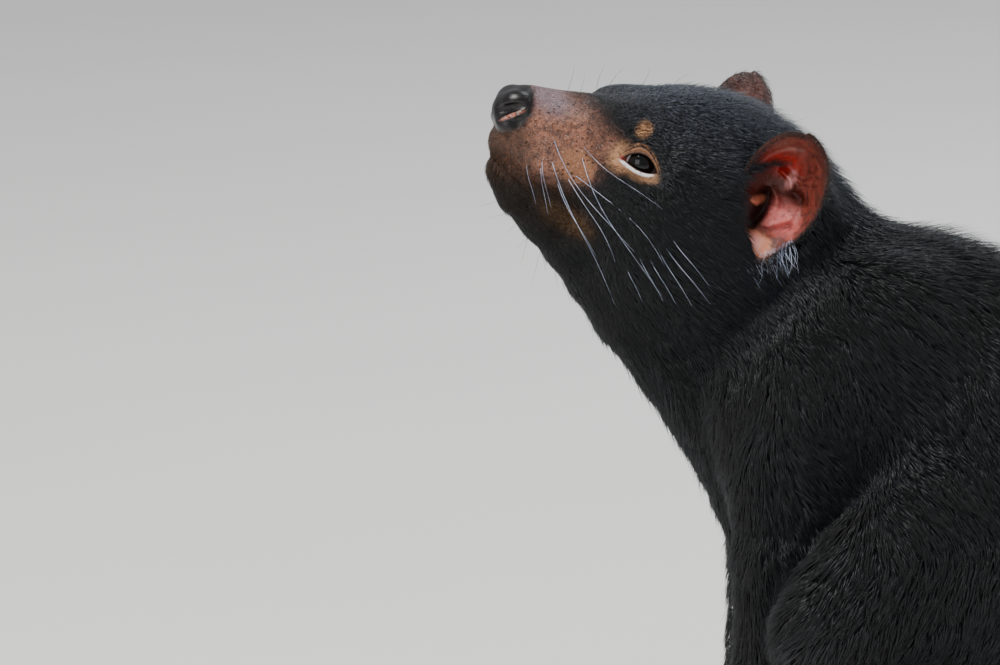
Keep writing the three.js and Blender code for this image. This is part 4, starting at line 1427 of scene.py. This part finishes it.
def markingsAndPaintedLightGroup():
    # where each marking and each place of painted sheen, highlight or shade lies, the distance from the slit
    # of the eye, and how bare the muzzle is
    tree, given, result = newGroup(
        "devil markings",
        [("Ragged", "NodeSocketFloat", 0.25), ("Ragged size", "NodeSocketFloat", 240)],
        [(name, "NodeSocketFloat") for name in [*marks, "bare", "lid", "fold", "above"]],
    )
    place = objectPlace(tree)
    handed = axes * (1, 1, -1)  # a rotation, where the skull's own axes are mirrored
    inSkull = carried(tree, place, handed, (skullCentre[:, 0] - shift) * metre, metre)
    split = added(tree, "ShaderNodeSeparateXYZ", {0: inSkull})
    outward = worked(tree, "ABSOLUTE", split.outputs[2])
    point = added(tree, "ShaderNodeCombineXYZ", {0: split.outputs[0], 1: split.outputs[1], 2: outward})
    inPlace = {"skull": point.outputs[0]}
    for which in ("eye", "ear", "nostril"):
        turn, origin = places[which]
        inPlace[which] = carried(tree, inPlace["skull"], turn, origin[:, 0])
    uneven = worked(tree, "SUBTRACT", noise(tree, place, given.outputs["Ragged size"], 4), 0.5)
    ragged = times(tree, uneven, given.outputs["Ragged"])
    masks = {}
    for name, (which, centre, radii, soft) in marks.items():
        offset = moved(tree, "SUBTRACT", inPlace[which], centre)
        away = extent(tree, moved(tree, "DIVIDE", offset, radii))
        if soft > crispEdge:
            away = worked(tree, "ADD", away, ragged)
        masks[name] = stepped(tree, away, 1 - soft, 1 + soft, 1, 0)
    bare = 0
    for name, share in bareMarks.items():
        bare = worked(tree, "MAXIMUM", bare, times(tree, masks[name], share))
    masks["bare"] = times(tree, bare, worked(tree, "MULTIPLY_ADD", masks["lips"], -0.6, 1))
    masks["lid"], fold, masks["above"] = lidDistance(tree, inPlace["eye"])
    masks["fold"] = worked(tree, "MULTIPLY_ADD", ragged, 6, fold)
    for name, mask in masks.items():
        tree.links.new(mask, result.inputs[name])
    return tree


def mottleGroup():
    # blotches, pores and fine creases of skin
    tree, given, result = newGroup(
        "skin mottle",
        [("Size", "NodeSocketFloat", 300), ("Pores", "NodeSocketFloat", 700)],
        [(name, "NodeSocketFloat") for name in ("Blotch", "Fleck", "Pore", "Height")],
    )
    place = objectPlace(tree)
    blotch = noise(tree, place, given.outputs["Size"], 5, Roughness=0.62)
    cells = added(tree, "ShaderNodeTexVoronoi", {"Vector": place, "Scale": given.outputs["Pores"]})
    chosen = added(tree, "ShaderNodeSeparateXYZ", {0: cells.outputs["Color"]}).outputs[0]
    dot = stepped(tree, cells.outputs["Distance"], 0.14, 0.36, 1, 0)
    pore = times(tree, dot, stepped(tree, chosen, 0.5, 0.55))
    fine = noise(tree, place, 1500, 3, Roughness=0.7)
    tree.links.new(stepped(tree, blotch, 0.26, 0.74), result.inputs["Blotch"])
    tree.links.new(pore, result.inputs["Pore"])
    tree.links.new(stepped(tree, fine, 0.53, 0.68), result.inputs["Fleck"])
    tree.links.new(worked(tree, "ADD", worked(tree, "SUBTRACT", blotch, pore), fine), result.inputs["Height"])
    return tree


def strandGroup():
    # lighter and darker hairs
    tree, given, result = newGroup(
        "strand variation",
        [("Size", "NodeSocketFloat", 900)],
        [("Strand", "NodeSocketFloat")],
    )
    found = noise(tree, objectPlace(tree), given.outputs["Size"])
    spread = added(tree, "ShaderNodeMapRange", {"Value": found, "From Min": 0.38, "From Max": 0.66})
    tree.links.new(spread.outputs[0], result.inputs["Strand"])
    return tree


markingsAndPaintedLight, mottle, strand = markingsAndPaintedLightGroup(), mottleGroup(), strandGroup()


def newMaterial(name, **constants):
    made = bpy.data.materials.new(name)
    made.use_nodes = True
    for key, value in constants.items():
        made.node_tree.nodes["Principled BSDF"].inputs[key].default_value = value
    return made, made.node_tree


def placed(tree, group, **values):
    made = tree.nodes.new("ShaderNodeGroup")
    made.node_tree = group
    for key, value in values.items():
        made.inputs[key].default_value = value
    return made


def mixed(tree, factor, first, second):
    # two colours mixed by a mask; each may be the name of a tone or a socket
    made = added(tree, "ShaderNodeMix", {0: factor}, data_type="RGBA")
    for index, value in ((6, first), (7, second)):
        if isinstance(value, bpy.types.NodeSocket):
            tree.links.new(value, made.inputs[index])
        else:
            made.inputs[index].default_value = (*tones[value], 1)
    return made.outputs[2]


def layered(tree, colour, layers):
    # colours laid over each other, each by its mask
    for mask, tone in layers:
        colour = mixed(tree, mask, colour, tone)
    return colour


def painted(made, colour, height=None, strength=1.0, deep=0.0003):
    # a material's colour and, from a height, its grain
    tree = made.node_tree
    shader = tree.nodes["Principled BSDF"]
    tree.links.new(colour, shader.inputs["Base Color"])
    if height:
        bump = added(tree, "ShaderNodeBump", {"Height": height, "Strength": strength, "Distance": deep})
        tree.links.new(bump.outputs[0], shader.inputs["Normal"])
    return made


def ramp(tree, value, stops):
    # tones by name, each at its place from 0 to 1
    made = added(tree, "ShaderNodeValToRGB", {0: value})
    elements = made.color_ramp.elements
    while len(elements) < len(stops):
        elements.new(0.5)
    for element, (at, name) in zip(elements, stops):
        element.position, element.color = at, (*tones[name], 1)
    return made.outputs[0]


tones = {
    "black": (0.0045, 0.0048, 0.0050),
    "slate": (0.0175, 0.0190, 0.0200),
    # a painted bluish sheen on the hairs of the crown
    "crownSheen": (0.105, 0.123, 0.165),
    "skin": (0.010, 0.008, 0.008),
    "muzzle": (0.052, 0.017, 0.009),
    "muzzleLight": (0.41, 0.160, 0.088),
    "fleck": (0.70, 0.46, 0.40),
    # mauve-brown skin of the snout's top, with its painted bluish sheen
    "snoutSkinAndSheen": (0.155, 0.112, 0.142),
    "cheek": (0.36, 0.150, 0.060),
    "lips": (0.098, 0.041, 0.015),
    "lipsDark": (0.02, 0.009, 0.004),
    "jaw": (0.026, 0.013, 0.005),
    "stripe": (0.20, 0.100, 0.034),
    "stripeDark": (0.05, 0.022, 0.008),
    "tan": (0.44, 0.225, 0.105),
    "peach": (0.70, 0.38, 0.21),
    # cream: the pale rim under the eye, and also painted glints on the nostril's rim and on the wart
    "cream": (0.98, 0.92, 0.93),
    "umber": (0.15, 0.062, 0.026),
    "browDark": (0.22, 0.075, 0.022),
    "browPale": (0.95, 0.56, 0.28),
    "lidDark": (0.030, 0.011, 0.006),
    "eyeCorner": (0.30, 0.06, 0.035),
    "nose": (0.0075, 0.006, 0.0065),
    "pink": (0.46, 0.13, 0.07),
    "earHair": (0.12, 0.034, 0.016),
    "earBack": (0.05, 0.010, 0.005),
    "earBackLight": (0.20, 0.045, 0.018),
    "cup": (0.12, 0.022, 0.014),
    "cupLight": (0.29, 0.058, 0.040),
    "cupDark": (0.07, 0.012, 0.008),
    "cupEdge": (0.085, 0.030, 0.022),
    # painted glints on the pad and the ridge
    "cupGlint": (0.92, 0.55, 0.50),
    "iris": (0.003, 0.0015, 0.001),
    "irisLight": (0.012, 0.006, 0.003),
    "pupil": (0.001, 0.001, 0.001),
    "eyeWhite": (0.52, 0.46, 0.46),
    "claw": (0.06, 0.045, 0.035),
    "clawLight": (0.32, 0.27, 0.21),
    "floor": (0.82, 0.81, 0.78),
    "floorLight": (0.86, 0.85, 0.82),
    "earFold": (0.24, 0.075, 0.055),
    "bowlShade": (0.060, 0.0065, 0.003),
    # painted shade of the bowl
    "earEmber": (0.42, 0.010, 0.003),
    "earPad": (0.76, 0.180, 0.165),
    # painted shade of the hollow
    "hollowShade": (0.065, 0.007, 0.004),
    # painted highlight of the ridge
    "ridgeHighlight": (0.80, 0.36, 0.34),
    # painted shade of the canal
    "canalShade": (0.007, 0.0025, 0.002),
    "earKnob": (0.66, 0.21, 0.12),
    "lobe": (0.85, 0.33, 0.19),
    # painted highlight of the lobe
    "lobeHighlight": (0.97, 0.43, 0.39),
    "greyHair": (0.28, 0.33, 0.46),
    "paleHair": (0.66, 0.73, 0.92),
    "blackHair": (0.012, 0.009, 0.008),
    "brownHair": (0.07, 0.045, 0.03),
}
# the cup's layers: its own colours, with painted shade in the bowl, hollow and canal and painted highlights
# on the ridge and the lobe
earLayers = [  # over the red of the cup, in this order
    "earFold",
    "bowlShade",
    "earEmber",
    "earPad",
    "hollowShade",
    "ridgeHighlight",
    "canalShade",
    "earKnob",
    "lobe",
    "lobeHighlight",
]
hairTones = {"pale whiskers": ("greyHair", "paleHair"), "dark whiskers": ("blackHair", "brownHair")}
lidSpan = 8  # how far the bands of the upper lid reach from the slit
# on the upper lid: a dark rim at the slit and umber skin, with pale tan lines that are painted highlights of
# the ridges and a dark band that is painted shade of a crease between them
lidBandsAndFoldLight = [  # their tones, by the share of that distance
    (0.05, "lidDark"),
    (0.12, "umber"),
    (0.26, "umber"),
    (0.32, "tan"),
    (0.36, "umber"),
    (0.47, "lidDark"),
    (0.57, "umber"),
    (0.62, "tan"),
    (0.68, "umber"),
    (0.78, "skin"),
]
skinFinish = {  # how each kind of bare skin shines, and the size and depth of its grain
    "devil skin": {"Roughness": 0.35, "Specular IOR Level": 0.55, "size": 360, "pores": 470, "deep": 0.001},
    "wet nose": {"Roughness": 0.25, "Specular IOR Level": 0.42, "size": 700, "pores": 900, "deep": 0.0001},
}


def lidColours(tree, out, spots, colour):
    # tan before the eye, painted highlights on the ridges and painted shade in the creases over it, and a
    # pale rim under it
    over = ramp(tree, worked(tree, "DIVIDE", out["fold"], lidSpan), lidBandsAndFoldLight)
    over = mixed(tree, times(tree, spots["Fleck"], 0.6), over, "umber")
    front = mixed(tree, spots["Blotch"], "tan", "peach")
    front = mixed(tree, times(tree, spots["Fleck"], 0.5), front, "umber")
    band = times(tree, stepped(tree, out["lid"], 0.2, 0.5), stepped(tree, out["lid"], 1.4, 2.2, 1, 0))
    anyLid = worked(tree, "MAXIMUM", out["lids"], out["lidUnder"])
    return layered(tree, colour, [
        (out["eyeFront"], front),
        (times(tree, out["lids"], out["above"]), over),
        (times(tree, without(tree, out["lidUnder"], out["above"]), 0.8), front),
        (times(tree, without(tree, out["lidPale"], out["above"]), band), "cream"),
        (times(tree, stepped(tree, out["lid"], 0.1, 0.45, 1, 0), anyLid), "lidDark"),
        (out["eyeCorner"], "eyeCorner"),
    ])


def skinMaterial(name):
    finish = dict(skinFinish[name])
    size, pores, deep = (finish.pop(key) for key in ("size", "pores", "deep"))
    made, tree = newMaterial(name, **finish)
    out = placed(tree, markingsAndPaintedLight, Ragged=0.3).outputs
    spots = placed(tree, mottle, Size=size, Pores=pores).outputs
    lips = mixed(tree, spots["Blotch"], "lidDark", "lips")
    lips = mixed(tree, times(tree, spots["Fleck"], 0.5), lips, "muzzleLight")
    holes = times(tree, spots["Pore"], worked(tree, "MULTIPLY_ADD", out["cheek"], 0.65, 0.3))
    muzzle = layered(tree, mixed(tree, spots["Blotch"], "muzzle", "muzzleLight"), [
        # the snout's top: own colour with a painted bluish sheen
        (times(tree, out["snoutSkinAndSheen"], 0.8), "snoutSkinAndSheen"),
        (times(tree, out["cheek"], 0.7), "cheek"),
        (times(tree, spots["Fleck"], 0.6), "fleck"),
        (times(tree, out["lips"], 0.85), lips),
        (holes, "lidDark"),
    ])
    colour = layered(tree, mixed(tree, out["jaw"], "skin", "jaw"), [
        (times(tree, out["lips"], 0.7), lips),
        (times(tree, out["lipStripe"], 0.8), "stripe"),
        (out["bare"], muzzle),
    ])
    # the nostril's pink rim, with cream flecks painted as the glints of its wet skin
    rim = mixed(tree, spots["Fleck"], "pink", "cream")
    inRim = times(tree, out["nostrilRim"], stepped(tree, spots["Blotch"], 0.25, 0.6, 0.2, 1))
    colour = layered(tree, lidColours(tree, out, spots, colour), [
        (out["browSpot"], "tan"),
        # the wart's glint: a painted highlight
        (out["wartGlint"], "cream"),
        (out["earBack"], mixed(tree, spots["Blotch"], "earBack", "earBackLight")),
        (out["pad"], mixed(tree, inRim, "nose", rim)),
        # the lobe's orange, with its painted highlight
        (out["lobe"], mixed(tree, out["lobeHighlight"], "lobe", "lobeHighlight")),
    ])
    return painted(made, colour, spots["Height"], 1, deep)


def earMaterial():
    made, tree = newMaterial("inside of the ear", **{
        "Roughness": 0.36,
        "Specular IOR Level": 0.5,
        "Subsurface Weight": 0.2,
        "Subsurface Scale": 0.0015,
    })
    out = placed(tree, markingsAndPaintedLight, Ragged=0.6, **{"Ragged size": 300}).outputs
    spots = placed(tree, mottle, Size=260, Pores=520).outputs
    darker = without(tree, stepped(tree, spots["Blotch"], 0, 0.5, 0.55, 0), out["lobe"])
    # pale flecks on the pad and the ridge: painted glints
    pale = times(tree, spots["Fleck"], worked(tree, "MAXIMUM", out["earPad"], out["ridgeHighlight"]))
    colour = layered(tree, mixed(tree, spots["Blotch"], "cup", "cupLight"), [
        (worked(tree, "SUBTRACT", 0.8, times(tree, out["earInside"], 0.8)), "cupEdge"),
        *[(times(tree, out[name], 0.92), name) for name in earLayers],
        (darker, "cupDark"),
        (times(tree, pale, 0.35), "cupGlint"),
    ])
    return painted(made, colour, spots["Height"], 0.5, 0.0006)


def coatMaterial():
    made, tree = newMaterial("black coat", **{
        "Roughness": 0.42,
        "Specular IOR Level": 0.45,
        "Sheen Weight": 0.05,
        "Sheen Roughness": 0.4,
        "Sheen Tint": (0.62, 0.75, 1, 1),
    })
    out = placed(tree, markingsAndPaintedLight, Ragged=0.35).outputs
    vary = placed(tree, strand).outputs[0]
    # the crown's hairs lighter and bluer: painted sheen
    slate = mixed(tree, out["crown"], "slate", "crownSheen")
    return painted(made, layered(tree, mixed(tree, vary, "black", slate), [
        (times(tree, out["jaw"], 0.8), "jaw"),
        (times(tree, out["lips"], 0.75), mixed(tree, vary, "lipsDark", "lips")),
        (times(tree, out["lipStripe"], 0.8), mixed(tree, vary, "stripeDark", "stripe")),
        (out["bare"], mixed(tree, vary, "muzzle", "muzzleLight")),
        (out["eyeFront"], mixed(tree, vary, "umber", "peach")),
        (times(tree, without(tree, out["lidUnder"], out["above"]), 0.6), "tan"),
        (out["browSpot"], mixed(tree, vary, "browDark", "browPale")),
        (times(tree, out["earBack"], 0.6), "earHair"),
    ]))


def eyeMaterial():
    made, tree = newMaterial("dark eye", **{"Roughness": 0.04, "Specular IOR Level": 0.36})
    place = objectPlace(tree)
    flat = moved(tree, "MULTIPLY", place, (1 / metre, 1 / metre, 0))
    forward = added(tree, "ShaderNodeSeparateXYZ", {0: flat}).outputs[0]
    iris = mixed(tree, noise(tree, place, 900, 4), "iris", "irisLight")
    colour = mixed(tree, stepped(tree, extent(tree, flat), 2.6, 3.6), "pupil", iris)
    return painted(made, mixed(tree, stepped(tree, forward, 5, 5.7), colour, "eyeWhite"))


def clawMaterial():
    made, tree = newMaterial("claw horn", Roughness=0.4)
    grain = noise(tree, objectPlace(tree), 260, 5, Distortion=0.6)
    return painted(made, mixed(tree, grain, "claw", "clawLight"), grain, 0.3)


def whiskerMaterial(name):
    made, tree = newMaterial(name, Roughness=0.35)
    return painted(made, mixed(tree, placed(tree, strand, Size=120).outputs[0], *hairTones[name]))


# The animal's pieces
def dressed(piece, material, slot, *nodes):
    piece.data.materials.clear()
    piece.data.materials.append(material)
    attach(piece, "root")
    if nodes:
        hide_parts(*nodes)
    return piece


furMaterial = coatMaterial()
for piece, slot in coatPieces():
    dressed(piece, furMaterial, slot)
print("coat made")
dressed(skin, skinMaterial("devil skin"), "body_fur", *nodesOfFlesh)
skin.data.materials.append(earMaterial())
skin.data.materials.append(skinMaterial("wet nose"))
skinFaces = readPlaces(skin.data.polygons, "center")
onNose = marked("pad", halfSkull(skinFaces)) > 0.5
inEar = insideCup(skinFaces, 0.99)
skin.data.polygons.foreach_set("material_index", np.where(onNose, 2, inEar).astype(np.int32))
eyeShine, horn = eyeMaterial(), clawMaterial()
for name, side in sides.items():
    dressed(eyeObject(name, side), eyeShine, "eyeball", "eye_" + name)
    for kind, made in (("fore", paw), ("hind", foot)):
        nodes = [f"{kind}_claw_{name}_{n + 1}" for n in range(len(made["toes"]))]
        dressed(clawsObject(f"claws_{kind}_{name}", made, -side), horn, "claw_horn", *nodes)
paleHair, darkHair = (whiskerMaterial(name) for name in hairTones)
dressed(whiskersObject("whiskers_pale", paleWhiskers), paleHair, "face_fur")
dressed(whiskersObject("whiskers_dark", darkWhiskers), darkHair, "face_fur")
dressed(fringeObject("ear_fringe"), paleHair, "face_fur")
dressed(fringeObject("ear_rim_hairs"), darkHair, "face_fur")
print("eyes, claws and whiskers made")


# Studio: a pale floor, soft light and the photograph's camera
studio = {
    "target": (4.5, 0, 229),
    "distance": 3500,
    "elevation": 12,  # degrees that the camera looks down
    "width": 450,  # of what the frame shows at the target
    "sensor": 36,
    "floor": 7,  # metres from its middle to each edge
    "lit": (0, 0, 0.22),  # in metres, where the lamps point
    "room": (0.86, 0.88, 0.92, 1),
    "roomLight": 0.5,
}
lamps = {  # place and size in metres, power in watts, colour
    "key": ((-0.75, -0.6, 2.2), 0.9, 52, (1, 0.98, 0.95)),
    "back": ((0.9, 1.3, 1.7), 0.9, 26, (0.9, 0.95, 1)),
    "front fill": ((-1.2, -1.9, 0.9), 1.2, 11, (1, 0.98, 0.96)),
}


def paleFloor():
    mesh = bpy.data.meshes.new("floor")
    half = studio["floor"]
    corners = [(-half, -half, 0), (half, -half, 0), (half, half, 0), (-half, half, 0)]
    mesh.from_pydata(corners, [], [(0, 1, 2, 3)])
    made, tree = newMaterial("pale floor", Roughness=0.8)
    grain = noise(tree, objectPlace(tree), 3)
    mesh.materials.append(painted(made, mixed(tree, grain, "floor", "floorLight")))
    floor = inScene("floor", mesh)


def softLight(name, place, size, power, colour):
    lamp = bpy.data.lights.new(name, "AREA")
    lamp.energy, lamp.size, lamp.color = power, size, colour
    made = inScene(name, lamp)
    made.location = place
    made.rotation_euler = (Vector(studio["lit"]) - made.location).to_track_quat("-Z", "Y").to_euler()


def addCamera():
    lens = bpy.data.cameras.new("camera")
    lens.sensor_width = studio["sensor"]
    lens.lens = studio["sensor"] * studio["distance"] / studio["width"]
    camera = inScene("camera", lens)
    down = math.radians(studio["elevation"])
    back = np.array((0, -math.cos(down), math.sin(down))) * studio["distance"]
    camera.location = ((np.array(studio["target"]) + back - shift) * metre).tolist()
    camera.rotation_euler = (math.pi / 2 - down, 0, 0)
    bpy.context.scene.camera = camera


def addRoom():
    world = bpy.data.worlds.new("studio")
    world.use_nodes = True
    background = world.node_tree.nodes["Background"]
    background.inputs["Color"].default_value = studio["room"]
    background.inputs["Strength"].default_value = studio["roomLight"]
    bpy.context.scene.world = world


paleFloor()
for name, lamp in lamps.items():
    softLight(name, *lamp)
addRoom()
addCamera()
print("studio ready")
